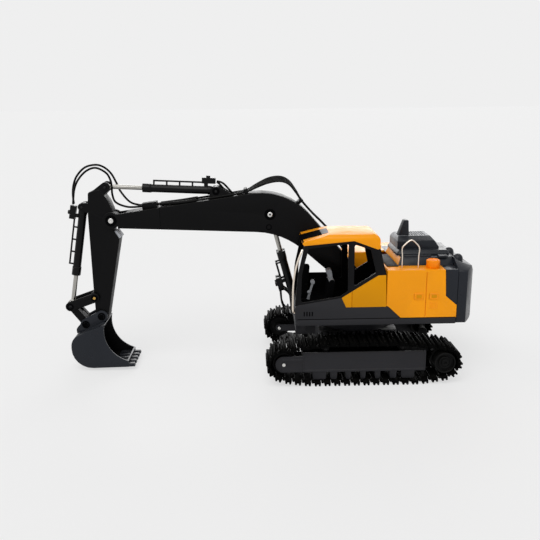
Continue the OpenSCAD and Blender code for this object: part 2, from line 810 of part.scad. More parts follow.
side_outline = [
    [rear_x + 0.5, sill_z, 0], [body_step_x, sill_z, 0], [panel_step_x, panel_z, 0],
    [cab_rear_x - 0.3, panel_z + 1, 0], [cab_rear_x - 0.3, body_z, 2], [rear_x + 16, body_z, 0],
    [rear_x + 14.1, panel_z + 12.2, 0], [rear_x + 0.5, panel_z + 0.6, 0]
];
module latch(x) {
    slab(house_hw - 0.8, house_hw + 1, [
        [x - 5.5, panel_z + 8.5, 1], [x + 5.5, panel_z + 8.5, 1],
        [x + 5.5, panel_z + 15.5, 1], [x - 5.5, panel_z + 15.5, 1]
    ]);
}
module left_body() {
    seam_x = rear_x + 38;
    color(amber) {
        difference() {
            slab(30, house_hw, side_outline);
            slab(29, house_hw - shell_t, inset(side_outline, shell_t));
            latch(seam_x + 9);
            latch(seam_x - 9);
            block([seam_x - 0.35, house_hw - 1.2, panel_z - 13], [seam_x + 0.35, house_hw + 1, body_z - 3]);
        }
        for (x = [seam_x + 9, seam_x - 9])
            slab(house_hw - 1, house_hw - 0.1, [
                [x - 2.4, panel_z + 10, 0.6], [x + 2.4, panel_z + 10, 0.6],
                [x + 2.4, panel_z + 14, 0.6], [x - 2.4, panel_z + 14, 0.6]
            ]);
    }
}
right_outline = [
    [rear_x + 0.5, sill_z, 0], [cab_front_x - 13, sill_z, 3], [cab_front_x - 13, panel_z - 2, 5],
    [cab_front_x - 64, panel_z, 5], [cab_front_x - 74, body_z - 8, 6], [cab_front_x - 82, body_z, 6],
    [rear_x + 16, body_z, 0], [rear_x + 14.1, panel_z + 12.2, 0], [rear_x + 0.5, panel_z + 0.6, 0]
];
module right_body() {
    seam_x = rear_x + 38;
    color(amber)
        difference() {
            slab(-house_hw, -slot_hw - 0.6, right_outline);
            slab(-house_hw + shell_t, -slot_hw - 0.6 - shell_t, inset(right_outline, shell_t));
            block(
                [rear_x - 1, -30, sill_z - 1],
                [cab_rear_x + shell_t, -slot_hw, body_z + 1]
            );
            mirror([0, 1, 0]) {
                latch(seam_x + 9);
                latch(seam_x - 9);
            }
            for (x = [seam_x, cab_rear_x - 6])
                block([x - 0.35, -house_hw - 1, panel_z - 13], [x + 0.35, -house_hw + 1.2, body_z - 3]);
        }
}
corner_outline = [
    [rear_x + 0.5, panel_z + 0.8, 0], [rear_x + 13.9, panel_z + 12.3, 0],
    [rear_x + 15.8, body_z, 0], [rear_x + 0.5, body_z, 0]
];
module rear_corner_panels() {
    color(slate)
        both_sides()
            difference() {
                slab(30, house_hw, corner_outline);
                slab(29, house_hw - shell_t, inset(corner_outline, shell_t));
            }
}
module top_cover() {
    color(slate)
        difference() {
            intersection() {
                slab(-lid_hw - 2, lid_hw + 2, [
                    [rear_x + 0.5, body_z, 0], [hood_x1, body_z, 0], [hood_x1 - 4.5, cap_top, 0],
                    [rear_x + 0.5, cap_top, 0]
                ]);
                section(rear_x, 0, [
                    [-lid_hw, body_z, 0], [lid_hw, body_z, 0],
                    [lid_hw - 8, cap_top, 6], [8 - lid_hw, cap_top, 6]
                ]);
            }
            block([rear_x + 4, 12 - lid_hw, body_z - 1], [hood_x1 - 9, lid_hw - 12, cap_top - shell_t]);
        }
}
hood_top = cap_top + hood_h;
hood_outline = [
    [hood_x0, cap_top, 0], [hood_x1 - 5, cap_top, 0], [hood_x1 - 5, hood_top - 5, 3],
    [hood_x1 - 8, hood_top, 3], [hood_x0 + 10, hood_top, 3], [hood_x0 + 1, cap_top + 8, 2]
];
hood_section = [
    [hood_y0, cap_top, 0], [hood_y1, cap_top, 0], [hood_y1, hood_top - 4.5, 1.5],
    [hood_y1 - 11, hood_top, 3], [hood_y0 + 7, hood_top, 2], [hood_y0, hood_top - 7, 2]
];
module engine_hood() {
    slats = 9;
    pitch = (hood_x1 - hood_x0 - 30) / slats;
    color(slate)
        difference() {
            intersection() {
                slab(hood_y0, hood_y1, hood_outline);
                section(hood_x0 - 1, hood_x1 + 1, hood_section);
            }
            block(
                [hood_x0 + 12, hood_y0 + 9, cap_top - 1],
                [hood_x1 - 5 - shell_t, hood_y1 - 9, hood_top - 2 * shell_t]
            );
            for (i = [0:slats - 1])
                block(
                    [hood_x0 + 15 + i * pitch, hood_y0 + 8, hood_top - 1.5],
                    [hood_x0 + 15 + (i + 0.45) * pitch, hood_y1 - 12, hood_top + 1]
                );
        }
}
module hood_intake() {
    y1 = hood_y1 - 12.5;
    color(slate)
        difference() {
            slab(y1 - 11, y1, [
                [hood_x1 - 22, hood_top, 0], [hood_x1 - 8.5, hood_top, 0],
                [hood_x1 - 15.5, hood_top + 19.5, 2], [hood_x1 - 21, hood_top + 19, 1]
            ]);
            block([hood_x1 - 23, y1 - 9, hood_top + 6], [hood_x1 - 19.5, y1 - 2, hood_top + 15]);
        }
}
tail_l = tail_r + rear_x;
tail_outline = [
    [-tail_r + 4, deck_z + 1, 0], [rear_x, deck_z + 1, 0], [rear_x, cap_top, 0],
    [rear_x - 0.41 * tail_l, cap_top - 1, 0.45 * tail_l], [-tail_r + 6, body_z - 2, 8],
    [-tail_r, body_z - 16, 12], [-tail_r, deck_z + 6, 4]
];
tail_section = [
    [-house_hw, deck_z, 2], [house_hw, deck_z, 2], [house_hw, body_z - 2, 3], [lid_hw - 1, cap_top, 12],
    [1 - lid_hw, cap_top, 12], [-house_hw, body_z - 2, 3]
];
module tail_form(d) {
    intersection() {
        slab(-house_hw, house_hw, inset(tail_outline, d));
        section(-tail_r - 1, rear_x + 1, inset(tail_section, d));
        translate([tail_arc_r - tail_r, 0, deck_z])
            cylinder(h = cap_top, r = tail_arc_r - d, $fn = 96);
    }
}
knob_r = 5.8;
knob_sink = 4;
knob_at = [for (y = [house_hw - 32, house_hw - 70]) [rear_x - 7.5, y, cap_top - knob_sink]];
module counterweight() {
    color(slate)
        difference() {
            tail_form(0);
            for (p = knob_at)
                translate(p)
                    cylinder(h = 2 * knob_sink, r = knob_r + fit);
            difference() {
                intersection() {
                    tail_form(shell_t);
                    block([-tail_r, -house_hw, deck_z], [rear_x + 1, house_hw, body_z - 8]);
                }
                block([rear_x - shell_t, -house_hw, deck_z], [rear_x + 1, house_hw, cap_top + 1]);
            }
        }
}
ballast_z = deck_z + 1 + shell_t;
ballast_x = 15.5 - tail_r;
module ballast() {
    color(steel)
        block(
            [ballast_x, 30 - house_hw, ballast_z],
            [rear_x - shell_t - gap, house_hw - 30, ballast_z + ballast_h]
        );
}

// Cab
tub_outline = [
    [body_step_x + 0.4, sill_z, 0], [cab_front_x, sill_z, 0], [belt_front.x, belt_front.y, 5],
    [belt_mid.x, belt_mid.y, 0], [belt_low.x, belt_low.y, 0], [panel_step_x + 0.4, panel_z, 0]
];
module cab_tub() {
    color(grey) {
        slab(house_hw - shell_t, house_hw, tub_outline);
        slab(cab_right_y, cab_right_y + shell_t, [
            [cab_rear_x, sill_z, 0], [cab_front_x, sill_z, 0], [belt_front.x, belt_front.y, 5],
            [belt_mid.x, belt_mid.y, 0], [belt_low.x, belt_low.y, 0], [cab_rear_x, panel_z, 0]
        ]);
        block([cab_rear_x, cab_right_y, sill_z], [cab_front_x, house_hw, sill_z + shell_t]);
        block(
            [cab_front_x - shell_t - 1.5, cab_right_y, sill_z],
            [cab_front_x - 1.5, house_hw, front_edge_z - 1]
        );
        block(
            [cab_rear_x, cab_right_y + shell_t, sill_z],
            [cab_rear_x + shell_t, house_hw - shell_t, c_pillar_z]
        );
        for (y = [cab_right_y + 8, house_hw - 16])
            block([cab_front_x - 16, y, deck_top], [cab_front_x - 6, y + 8, sill_z]);
    }
}
frame_outline = [
    [belt_end.x, belt_end.y, 0], [belt_rear.x, belt_rear.y, 0], [belt_mid.x, belt_mid.y, 0],
    [belt_front.x, belt_front.y, 0], [cab_front_x - 3.6, (front_edge_z + roof_front.y) / 2 + 3, 60],
    [roof_front.x, roof_front.y, 0], [roof_mid.x, roof_mid.y, 0], [roof_rear.x, roof_rear.y, 0],
    [roof_end.x, roof_end.y, 0]
];
front_window = [
    [b_pillar_x, belt_mid.y + 8, 2], [belt_mid.x + 2, belt_mid.y + 1.5, 4],
    [cab_front_x - pillar_w - 2, front_edge_z + 3.5, 3],
    [cab_front_x - pillar_w - 3.2, (front_edge_z + roof_front.y) / 2 + 3, 60],
    [roof_front.x - pillar_w, roof_front.y - 3.5, 2], [b_pillar_x, roof_mid.y - 3.5, 2]
];
rear_window = [
    [belt_rear.x + pillar_w - 2, belt_rear.y + 3, 1], [b_pillar_x - b_pillar_w, belt_mid.y + 13.5, 2],
    [b_pillar_x - b_pillar_w, roof_mid.y - 4, 2], [roof_rear.x + pillar_w + 3, roof_rear.y - 0.6, 2]
];
module cab_side_frame(y0, y1) {
    difference() {
        slab(y0, y1, frame_outline);
        slab(y0 - 1, y1 + 1, front_window);
        slab(y0 - 1, y1 + 1, rear_window);
    }
}
module cab_frame() {
    y0 = cab_right_y;
    y1 = house_hw;
    color(black) {
        cab_side_frame(y0, y0 + shell_t);
        slab(y0, y0 + shell_t, panel_outline);
        slab(y0, y0 + shell_t, [
            [belt_front.x - 1, belt_front.y + 1, 0], [belt_front.x - 3.5, panel_z + 21.5, 0],
            [b_pillar_x - 2, panel_z + 21.5, 0], [belt_mid.x, belt_mid.y + 1, 0]
        ]);
        cab_side_frame(y1 - shell_t, y1);
        block([roof_front.x - 5, y0 + 1, roof_front.y - 4.5], [roof_front.x - 0.5, y1 - 1, roof_front.y - 1]);
        block([cab_front_x - 5, y0 + 1, front_edge_z + 1], [cab_front_x - 1.5, y1 - 1, front_edge_z + 3.6]);
        block([roof_rear.x - 2, y0 + 1, roof_rear.y - 6], [roof_rear.x + 1, y1 - 1, roof_rear.y - 2]);
        block([belt_rear.x - 8, y0 + 1, belt_rear.y + 0.8], [belt_rear.x - 5, y1 - 1, belt_rear.y + 4]);
    }
}
roof_y0 = cab_right_y - 0.6;
roof_y1 = house_hw + 0.6;
roof_mid_y = (roof_y0 + roof_y1) / 2;
hatch_d = 1;
crown_r = 1.46 * (roof_y1 - roof_y0);
roof_outline = [
    [roof_end.x, roof_end.y, 0], [roof_rear.x, roof_rear.y, 0], [roof_mid.x, roof_mid.y, 0],
    [roof_front.x, roof_front.y, 0], [roof_front.x + 4.5, roof_front.y + 3.6, 2],
    [roof_mid.x + 18, roof_mid.y + roof_h + 1, 70], [roof_end.x + 0.5, roof_mid.y + roof_h - 2, 8]
];
roof_section = [
    [roof_y0, roof_rear.y - 10, 0], [roof_y1, roof_rear.y - 10, 0], [roof_y1, roof_mid.y + roof_h - 3, 6],
    [roof_mid_y, roof_mid.y + roof_h + 6, crown_r], [roof_y0, roof_mid.y + roof_h - 3, 6]
];
module roof_form(d) {
    intersection() {
        slab(roof_y0 + d, roof_y1 - d, inset(roof_outline, d));
        section(roof_end.x - 5, roof_front.x + 8, inset(roof_section, d));
    }
}
module cab_roof() {
    color(amber)
        difference() {
            roof_form(0);
            intersection() {
                roof_form(shell_t);
                block([cab_rear_x, roof_y0, sill_z], [roof_front.x - 8, roof_y1, roof_mid.y + 2 * roof_h]);
            }
            difference() {
                slab(roof_mid_y - 11, roof_mid_y + 11, [
                    [roof_front.x - 30, roof_front.y + 2.6, 0], [roof_front.x + 1, roof_front.y + 2.6, 0],
                    [roof_front.x + 1, roof_front.y + 18, 0], [roof_front.x - 30, roof_front.y + 18, 0]
                ]);
                roof_form(hatch_d);
            }
        }
}
panel_outline = [
    [cab_rear_x, panel_z, 0], [belt_low.x, belt_low.y, 0], [belt_mid.x, belt_mid.y, 0],
    [belt_rear.x, belt_rear.y, 0], [belt_end.x, belt_end.y, 0]
];
module cab_side_panels() {
    seam_x = b_pillar_x - b_pillar_w + 2;
    color(mustard)
        difference() {
            slab(house_hw - shell_t, house_hw, panel_outline);
            block([seam_x - 0.35, house_hw - 1.2, panel_z - 1], [seam_x + 0.35, house_hw + 1, belt_rear.y]);
        }
}
cab_mid_y = (cab_right_y + house_hw) / 2;
floor_z = sill_z + shell_t;
seat_x = b_pillar_x + 5;
module cab_seat() {
    color(black) {
        block([seat_x + 14, cab_mid_y - 9, floor_z], [seat_x + 33, cab_mid_y + 9, floor_z + 9]);
        slab(cab_mid_y - 12, cab_mid_y + 12, [
            [seat_x + 12, floor_z + 9, 2], [seat_x + 36, floor_z + 9, 3],
            [seat_x + 37, floor_z + 17, 4], [seat_x + 19, floor_z + 16, 3],
            [seat_x + 15, floor_z + 42, 4], [seat_x + 8, floor_z + 41, 3]
        ]);
        slab(cab_mid_y - 7, cab_mid_y + 7, [
            [seat_x + 10, floor_z + 39, 0], [seat_x + 14, floor_z + 39, 0],
            [seat_x + 19, floor_z + 51, 2], [seat_x + 12, floor_z + 53, 2]
        ]);
    }
}
module cab_controls() {
    monitor_x = cab_front_x - 16;
    left_y = cab_mid_y + 13;
    color(black) {
        for (y = [cab_mid_y - 20, left_y]) {
            slab(y, y + 7, [
                [seat_x + 18, floor_z, 0], [seat_x + 44, floor_z, 0],
                [seat_x + 50, floor_z + 20, 2], [seat_x + 18, floor_z + 17, 2]
            ]);
            translate([seat_x + 40, y + 3.5, floor_z + 18])
                cylinder(h = 10, r = 1.2);
            translate([seat_x + 40, y + 3.5, floor_z + 28])
                sphere(r = 2.2);
        }
        slab(cab_right_y + shell_t, cab_right_y + shell_t + 8, [
            [monitor_x - 3, floor_z, 0], [monitor_x + 3, floor_z, 0], [monitor_x + 3, floor_z + 31, 0],
            [monitor_x + 6, floor_z + 32, 1], [monitor_x + 4.5, floor_z + 53, 2],
            [monitor_x - 5.5, floor_z + 52, 2], [monitor_x - 4.5, floor_z + 31, 1],
            [monitor_x - 3, floor_z + 31, 0]
        ]);
        slab(left_y + 2, left_y + 4.4, [
            [seat_x + 42, floor_z + 12, 0], [seat_x + 44.6, floor_z + 12, 0],
            [monitor_x - 4.8, floor_z + 39.5, 0], [monitor_x - 7.4, floor_z + 39.5, 0]
        ]);
        shaft([monitor_x - 6, floor_z + 40.5], left_y + 1, left_y + 5.4, 2.6);
        for (y = [cab_mid_y - 6, cab_mid_y + 2])
            slab(y, y + 4, [
                [cab_front_x - 20, floor_z, 0], [cab_front_x - 10, floor_z, 0],
                [cab_front_x - 10, floor_z + 7, 1], [cab_front_x - 20, floor_z + 2, 0]
            ]);
    }
}
module grab_rails() {
    color(steel)
        for (route = [grab_route, rail_route])
            tube(route, wire_r, 8);
}
module fuel_cap() {
    color(orange)
        translate([rear_x + 28, house_hw - cap_r - 5, body_z])
            rotate_extrude()
                polygon([
                    [0, 0], [cap_r, 0], [cap_r, 8.5], [cap_r - 1, 9.5], [cap_r - 2.5, 10],
                    [cap_r - 2.5, 9], [0, 9]
                ]);
}
module lid_knobs() {
    color(black)
        for (p = knob_at)
            translate(p)
                rotate_extrude()
                    polygon([
                        [0, 0], [knob_r, 0], [knob_r, 9], [knob_r - 1.2, 10.6], [knob_r - 3, 11], [0, 11]
                    ]);
}
module step_pad() {
    x0 = hood_x1 + 0.3;
    x1 = cab_rear_x - 3;
    ribs = 8;
    pitch = (x1 - x0 - 1) / ribs;
    color(grey) {
        block([x0, 0, body_z], [x1, lid_hw + 4, body_z + 1.2]);
        for (i = [0:ribs - 1])
            block([x0 + 1 + i * pitch, 1, body_z + 1], [x0 + 1 + (i + 0.5) * pitch, lid_hw + 3, body_z + 2]);
    }
}
battery_h = 24;
module battery_pack() {
    color("royalblue")
        block([rear_x + 12, -26, deck_top], [rear_x + 58, 24, deck_top + battery_h]);
}
module receiver_board() {
    color("darkgreen") {
        block([rear_x + 12, -22, deck_top + 30], [rear_x + 56, 20, deck_top + 31.6]);
        for (x = [rear_x + 15, rear_x + 53])
            for (y = [-19, 17])
                translate([x, y, deck_top + battery_h])
                    cylinder(h = 6, r = 1.5);
        block([rear_x + 24, -10, deck_top + 31.6], [rear_x + 36, 4, deck_top + 34]);
    }
}
module slew_motor() {
    color(steel)
        translate([pinion_x, 0, deck_top])
            difference() {
                cylinder(h = 26, r = motor_r);
                translate([0, 0, -1])
                    cylinder(h = 9, r = pinion_shaft_r + fit);
            }
}
module slew_pinion() {
    color(steel)
        translate([pinion_x, 0, 0]) {
            translate([0, 0, gear_z])
                linear_extrude(gear_w)
                    polygon(gear_points(pinion_teeth, 180 / pinion_teeth));
            translate([0, 0, gear_z + 1])
                cylinder(h = deck_top + 6 - gear_z, r = pinion_shaft_r);
        }
}

// Boom
module boom_slot() {
    block(
        [knee_low.x - 26, -boom_hw + boom_t, knee_low.y - 30],
        [knee_low.x + 34, boom_hw - boom_t, knee_low.y + 6]
    );
}
module boom_shell() {
    color(black)
        difference() {
            union() {
                slab(-boom_hw, boom_hw, boom_outline);
                shaft(foot_at, -boom_hw, boom_hw, foot_boss_r - 1);
                both_sides()
                    slab(bracket_hw, bracket_hw + bracket_t, [
                        [stick_base_at.x - 24, boom_top(stick_base_at.x - 24) - 1, 0],
                        [stick_base_at.x + 10, boom_top(stick_base_at.x + 10) - 1, 0],
                        [stick_base_at.x + 5, stick_base_at.y + 5.5, 4],
                        [stick_base_at.x - 5, stick_base_at.y + 5.5, 4]
                    ]);
            }
            intersection() {
                slab(-boom_hw + boom_t, boom_hw - boom_t, inset(boom_outline, boom_t));
                block([foot_at.x + 24, -boom_hw, 0], [seam_at - 4, boom_hw, 400]);
            }
            boom_slot();
            block([seam_at, -boom_hw - 1, 0], [tip_at.x + 30, boom_hw + 1, 400]);
            bore(foot_at, -boom_hw, boom_hw, foot_pin_r + fit);
            bore(ram_eye_at, -boom_hw, boom_hw, ram_pin_r + fit);
            bore(stick_base_at, -12, 12, ram_pin_r + fit);
        }
}
module boom_fork() {
    color(black)
        difference() {
            union() {
                intersection() {
                    slab(-boom_hw, boom_hw, boom_outline);
                    block([seam_at + 0.1, -boom_hw, 0], [tip_at.x + 30, boom_hw, 400]);
                }
                both_sides()
                    shaft(tip_at, stick_hw + gap, boom_hw, tip_boss_r);
                both_sides()
                    shaft(tip_at, stick_hw + gap, boom_hw + 0.6, 6);
            }
            block([tip_at.x - fork_room, -stick_hw - gap, 0], [tip_at.x + 30, stick_hw + gap, 400]);
            block([seam_at + 4, -boom_hw + boom_t, boom_low_front.y + 2.5],
                [tip_at.x - fork_room - 4, boom_hw - boom_t, boom_top_front.y - 1]);
            bore(tip_at, -boom_hw, boom_hw, tip_pin_r + fit);
        }
}
module boom_pins() {
    color(steel) {
        shaft(tip_at, -boom_hw - 1, boom_hw + 1, tip_pin_r);
        shaft(ram_eye_at, -boom_hw - pin_head, boom_hw + pin_head, ram_pin_r);
        shaft(stick_base_at, -bracket_hw - bracket_t - pin_head, bracket_hw + bracket_t + pin_head, ram_pin_r);
    }
}
// The far hose stands higher over the crest of the boom
function crest_lift(x) = x > 74 && x < 140 ? 5 * sin(180 * (x - 74) / 66) : 0;
module boom_hoses() {
    color(black) {
        tube(boom_hose_route, hose_r, 8);
        tube([for (p = boom_hose_route) [p.x, -p.y, p.z + crest_lift(p.x)]], hose_r, 8);
    }
}
// Clip that stands on the boom and holds both hoses at one point of their route
module hose_clip(i) {
    p = boom_hose_route[i];
    a = boom_hose_route[max(i - 1, 0)];
    b = boom_hose_route[min(i + 1, len(boom_hose_route) - 1)];
    difference() {
        translate([p.x, 0, p.z])
            rotate([0, -heading([b.x, b.z], [a.x, a.z]), 0])
                difference() {
                    block([-2, -p.y - 2.5, -12], [2, p.y + 2.5, hose_r + 1.4]);
                    for (side = [-1, 1])
                        translate([-3, side * p.y, 0])
                            rotate([0, 90, 0])
                                cylinder(h = 6, r = hose_r + 0.6);
                }
        slab(-boom_hw - 1, boom_hw + 1, boom_outline);
    }
}
module clamp_on_boom(x, y, l) {
    rise = 3.7;
    translate([x, 0, boom_top(x)])
        rotate([0, -boom_top_angle, 0])
            difference() {
                block([-l / 2, -y - 4, 0], [l / 2, y + 4, rise + 3.7]);
                for (side = [-1, 1])
                    translate([-l / 2 - 1, side * y, rise])
                        rotate([0, 90, 0])
                            cylinder(h = l + 2, r = hose_r + 0.7);
            }
}
module hose_clamps() {
    color(black) {
        clamp_on_boom(boom_hose_route[0].x - 1, boom_hose_route[0].y, 18.5);
        for (i = [6, 12, len(boom_hose_route) - 1])
            hose_clip(i);
    }
}

// Rams: the barrel's eye is at the origin and its rod leaves along Z
pipe_r = 1.1;
pipe_x = barrel_r + 4;
valve_l = 17;
valve_hw = 3.6;
module ram_valve(z) {
    translate([pipe_x - pipe_r, -valve_hw, z])
        cube([2 * valve_hw, 2 * valve_hw, valve_l]);
    translate([barrel_r - 1.5, -valve_hw / 2, z + valve_l * 0.55])
        cube([pipe_x - barrel_r + 1, valve_hw, 5]);
    translate([pipe_x + 2 * valve_hw - pipe_r - 0.5, 0, z + valve_l * 0.55])
        rotate([0, 90, 0])
            cylinder(h = 3, r = 2.6);
}
module ram_pipe(z0, gland) {
    translate([pipe_x, 0, z0])
        cylinder(h = gland - 13 - z0, r = pipe_r);
    for (z = [gland - 15 : -16 : z0 + 6])
        translate([barrel_r - 1.5, -1, z])
            cube([pipe_x - barrel_r + 1.5, 2, 2]);
}
module ram_barrel(gland, rear_bore, eye_r, pipe_side, valve_z) {
    difference() {
        union() {
            translate([0, 0, eye_r - 2])
                cylinder(h = gland - eye_r + 2, r = barrel_r - 0.6);
            translate([0, 0, gland - 11])
                cylinder(h = 11, r = barrel_r);
            translate([0, 0, eye_r])
                cylinder(h = 5, r = barrel_r);
            rotate([90, 0, 0])
                translate([0, 0, -ram_eye_hw])
                    cylinder(h = 2 * ram_eye_hw, r = eye_r);
            mirror([pipe_side > 0 ? 0 : 1, 0, 0]) {
                ram_valve(valve_z);
                ram_pipe(valve_z + valve_l - 1, gland);
            }
        }
        translate([0, 0, eye_r + 3])
            cylinder(h = gland, r = rod_r + fit);
        rotate([90, 0, 0])
            translate([0, 0, -barrel_r - 1])
                cylinder(h = 2 * barrel_r + 2, r = rear_bore);
    }
}
module ram_rod(gland, length, eye_r, eye_hw, eye_bore) {
    difference() {
        union() {
            translate([0, 0, gland - rod_tail])
                cylinder(h = length - gland + rod_tail - eye_bore, r = rod_r);
            translate([0, eye_hw, length])
                rotate([90, 0, 0])
                    cylinder(h = 2 * eye_hw, r = eye_r);
        }
        translate([0, eye_hw + 1, length])
            rotate([90, 0, 0])
                cylinder(h = 2 * eye_hw + 2, r = eye_bore);
    }
}
module boom_barrels() {
    color(black)
        for (side = [-1, 1])
            aim(ram_base_at, ram_eye_at, side * ram_y)
                ram_barrel(boom_gland, ram_pin_r + fit, ram_eye_r, 1, 41);
}
module boom_rods() {
    color(steel)
        for (side = [-1, 1])
            aim(ram_base_at, ram_eye_at, side * ram_y)
                ram_rod(boom_gland, boom_ram_l, ram_eye_r + 0.4, ram_eye_hw, ram_pin_r + boom_play);
}
module stick_barrel() {
    color(black)
        aim(stick_base_at, stick_eye_at, 0)
            ram_barrel(stick_ram_l - stick_gland, ram_pin_r + stick_play, ram_eye_r + 0.4, -1, 1);
}
module stick_rod() {
    color(steel)
        aim(stick_base_at, stick_eye_at, 0)
            ram_rod(stick_ram_l - stick_gland, stick_ram_l, ram_eye_r - 0.5, ram_eye_hw, ram_pin_r + fit);
}
module bucket_barrel() {
    color(black)
        aim(bucket_top_at, rocker_end_at, 0)
            ram_barrel(bucket_gland, ram_pin_r + fit, ram_eye_r, -1, 1);
}
module bucket_rod() {
    color(steel)
        aim(bucket_top_at, rocker_end_at, 0)
            ram_rod(bucket_gland, bucket_ram_l, rod_eye_r, rod_eye_hw, ram_pin_r + bucket_play);
}

// Stick
stick_outline = [
    [bucket_at.x - 8, bucket_at.y, 0], [bucket_at.x + 8, bucket_at.y, 0],
    [rocker_at.x + 1, rocker_at.y + 14, 4], [bucket_top_at.x - 6.8, bucket_top_at.y - 10, 0],
    [tip_at.x + 27, tip_at.y + 35, 3], [tip_at.x + 12, tip_at.y + 38, 3],
    [tip_at.x + 2.8, tip_at.y + 24, 0], [tip_at.x - 1.5, tip_at.y + 12, 0],
    [tip_at.x - 1.6, tip_at.y - 14.3, 0], [tip_at.x - 8.2, tip_at.y - 24.2, 1]
];
module stick() {
    color(black)
        difference() {
            union() {
                slab(-stick_hw, stick_hw, stick_outline);
                shaft(bucket_at, -stick_hw, stick_hw, 8);
                shaft(rocker_at, -stick_hw, stick_hw, 7);
                shaft(tip_at, -stick_hw, stick_hw, 9);
                both_sides()
                    strap(
                        bucket_top_at, bucket_top_at + [-14, -2], stick_hw - lug_t, stick_hw, 5, 7
                    );
                both_sides()
                    strap(
                        stick_eye_at, tip_at + [20, 29], stick_hw - lug_t, stick_hw - 1, 6, 7
                    );
            }
            block(
                [stick_eye_at.x - 14, -bracket_hw, stick_eye_at.y - 8],
                [stick_eye_at.x + 7, bracket_hw, stick_eye_at.y + 12]
            );
            bore(bucket_at, -stick_hw, stick_hw, ram_pin_r + 0.9 + fit);
            bore(rocker_at, -stick_hw, stick_hw, ram_pin_r + fit);
            bore(tip_at, -stick_hw, stick_hw, tip_pin_r + fit);
            bore(bucket_top_at, -stick_hw, stick_hw, ram_pin_r + fit);
            bore(stick_eye_at, -stick_hw, stick_hw, ram_pin_r + fit);
        }
}
module stick_pins() {
    color(steel) {
        shaft(bucket_top_at, -stick_hw - pin_head, stick_hw + pin_head, ram_pin_r);
        shaft(stick_eye_at, -stick_hw - pin_head, stick_hw + pin_head, ram_pin_r);
        shaft(
            rocker_at, -stick_hw - gap - rocker_t - pin_head, stick_hw + gap + rocker_t + pin_head, ram_pin_r
        );
    }
}
module stick_bumper() {
    a = stick_outline[8];
    b = stick_outline[9];
    color("dimgray")
        translate([b.x, 0, b.y])
            rotate([0, -heading(b, a), 0])
                block([0.6, -stick_hw + 1.5, 0], [norm(flat(a) - flat(b)) - 0.6, stick_hw - 1.5, 3.6]);
}
module stick_hoses() {
    color(black)
        for (route = [stick_hose_near, stick_hose_far])
            tube(route, hose_r, 8);
}

// Bucket
bucket_low = bucket_at.y - bucket_d;
lip_x = bucket_at.x - 33;
bucket_outline = [
    [lip_x, bucket_low + 0.8, 0], [bucket_at.x + 40, bucket_low - 0.6, 26],
    [bucket_at.x + 38, bucket_at.y - 25, 16],
    [bucket_at.x - 7, bucket_at.y - 7, 0], [bucket_at.x - 34, bucket_at.y - 11, 0]
];
bucket_mouth = [bucket_at.x - 45, bucket_at.y - 18];
mouth_r = 41;
module bucket() {
    y0 = stick_hw + gap;
    color(slate)
        difference() {
            union() {
                difference() {
                    slab(-bucket_hw, bucket_hw, bucket_outline);
                    slab(-bucket_hw + bucket_t, bucket_hw - bucket_t, inset(bucket_outline, bucket_t));
                    bore(bucket_mouth, -bucket_hw, bucket_hw, mouth_r);
                    block(
                        [bucket_at.x - 60, -bucket_hw - 1, bucket_at.y - 19],
                        [bucket_at.x - 6, bucket_hw + 1, bucket_at.y + 6]
                    );
                }
                both_sides()
                    strap(bucket_at, ear_end_at, y0, y0 + ear_t, 7.5, 7);
                both_sides()
                    slab(y0, y0 + ear_t, [
                        [bucket_at.x - 6, bucket_at.y - 8.4, 0], [ear_end_at.x + 12, bucket_at.y - 22.5, 0],
                        [ear_end_at.x + 13, ear_end_at.y - 6, 6], [ear_end_at.x + 2, ear_end_at.y + 6.5, 4]
                    ]);
                for (i = [0:bucket_teeth - 1])
                    translate([0, -bucket_hw + 3.5 + i * (2 * bucket_hw - 7) / (bucket_teeth - 1), 0])
                        slab(-3, 3, [
                            [lip_x - tooth_l, bucket_low + 1, 0], [lip_x + 6, bucket_low + 0.7, 0],
                            [lip_x + 6, bucket_low + 3.2, 0], [lip_x, bucket_low + 5.2, 2],
                            [lip_x - tooth_l, bucket_low + 3, 0]
                        ]);
                shaft(ear_end_at, -y0 - ear_t - pin_head, y0 + ear_t + pin_head, ram_pin_r);
                shaft(bucket_at, -y0 - ear_t - pin_head, y0 + ear_t + pin_head, ram_pin_r + 0.9);
            }
        }
}
module bucket_rockers() {
    y0 = stick_hw + gap;
    color(black)
        difference() {
            union() {
                both_sides()
                    strap(rocker_at, rocker_end_at, y0, y0 + rocker_t, 6, 6);
                shaft(rocker_end_at, -y0 - rocker_t - pin_head, y0 + rocker_t + pin_head, ram_pin_r);
            }
            bore(rocker_at, -y0 - rocker_t, y0 + rocker_t, ram_pin_r + fit);
        }
}
module bucket_link() {
    web = between(rocker_end_at, ear_end_at, 0.55);
    color(black)
        difference() {
            union() {
                both_sides()
                    strap(rocker_end_at, ear_end_at, link_fork_hw, link_hw, 4.5, 5);
                strap(web, ear_end_at, -link_hw, link_hw, 4, 5);
            }
            bore(rocker_end_at, -link_hw, link_hw, ram_pin_r + fit);
            bore(ear_end_at, -link_hw, link_hw, ram_pin_r + link_play);
        }
}

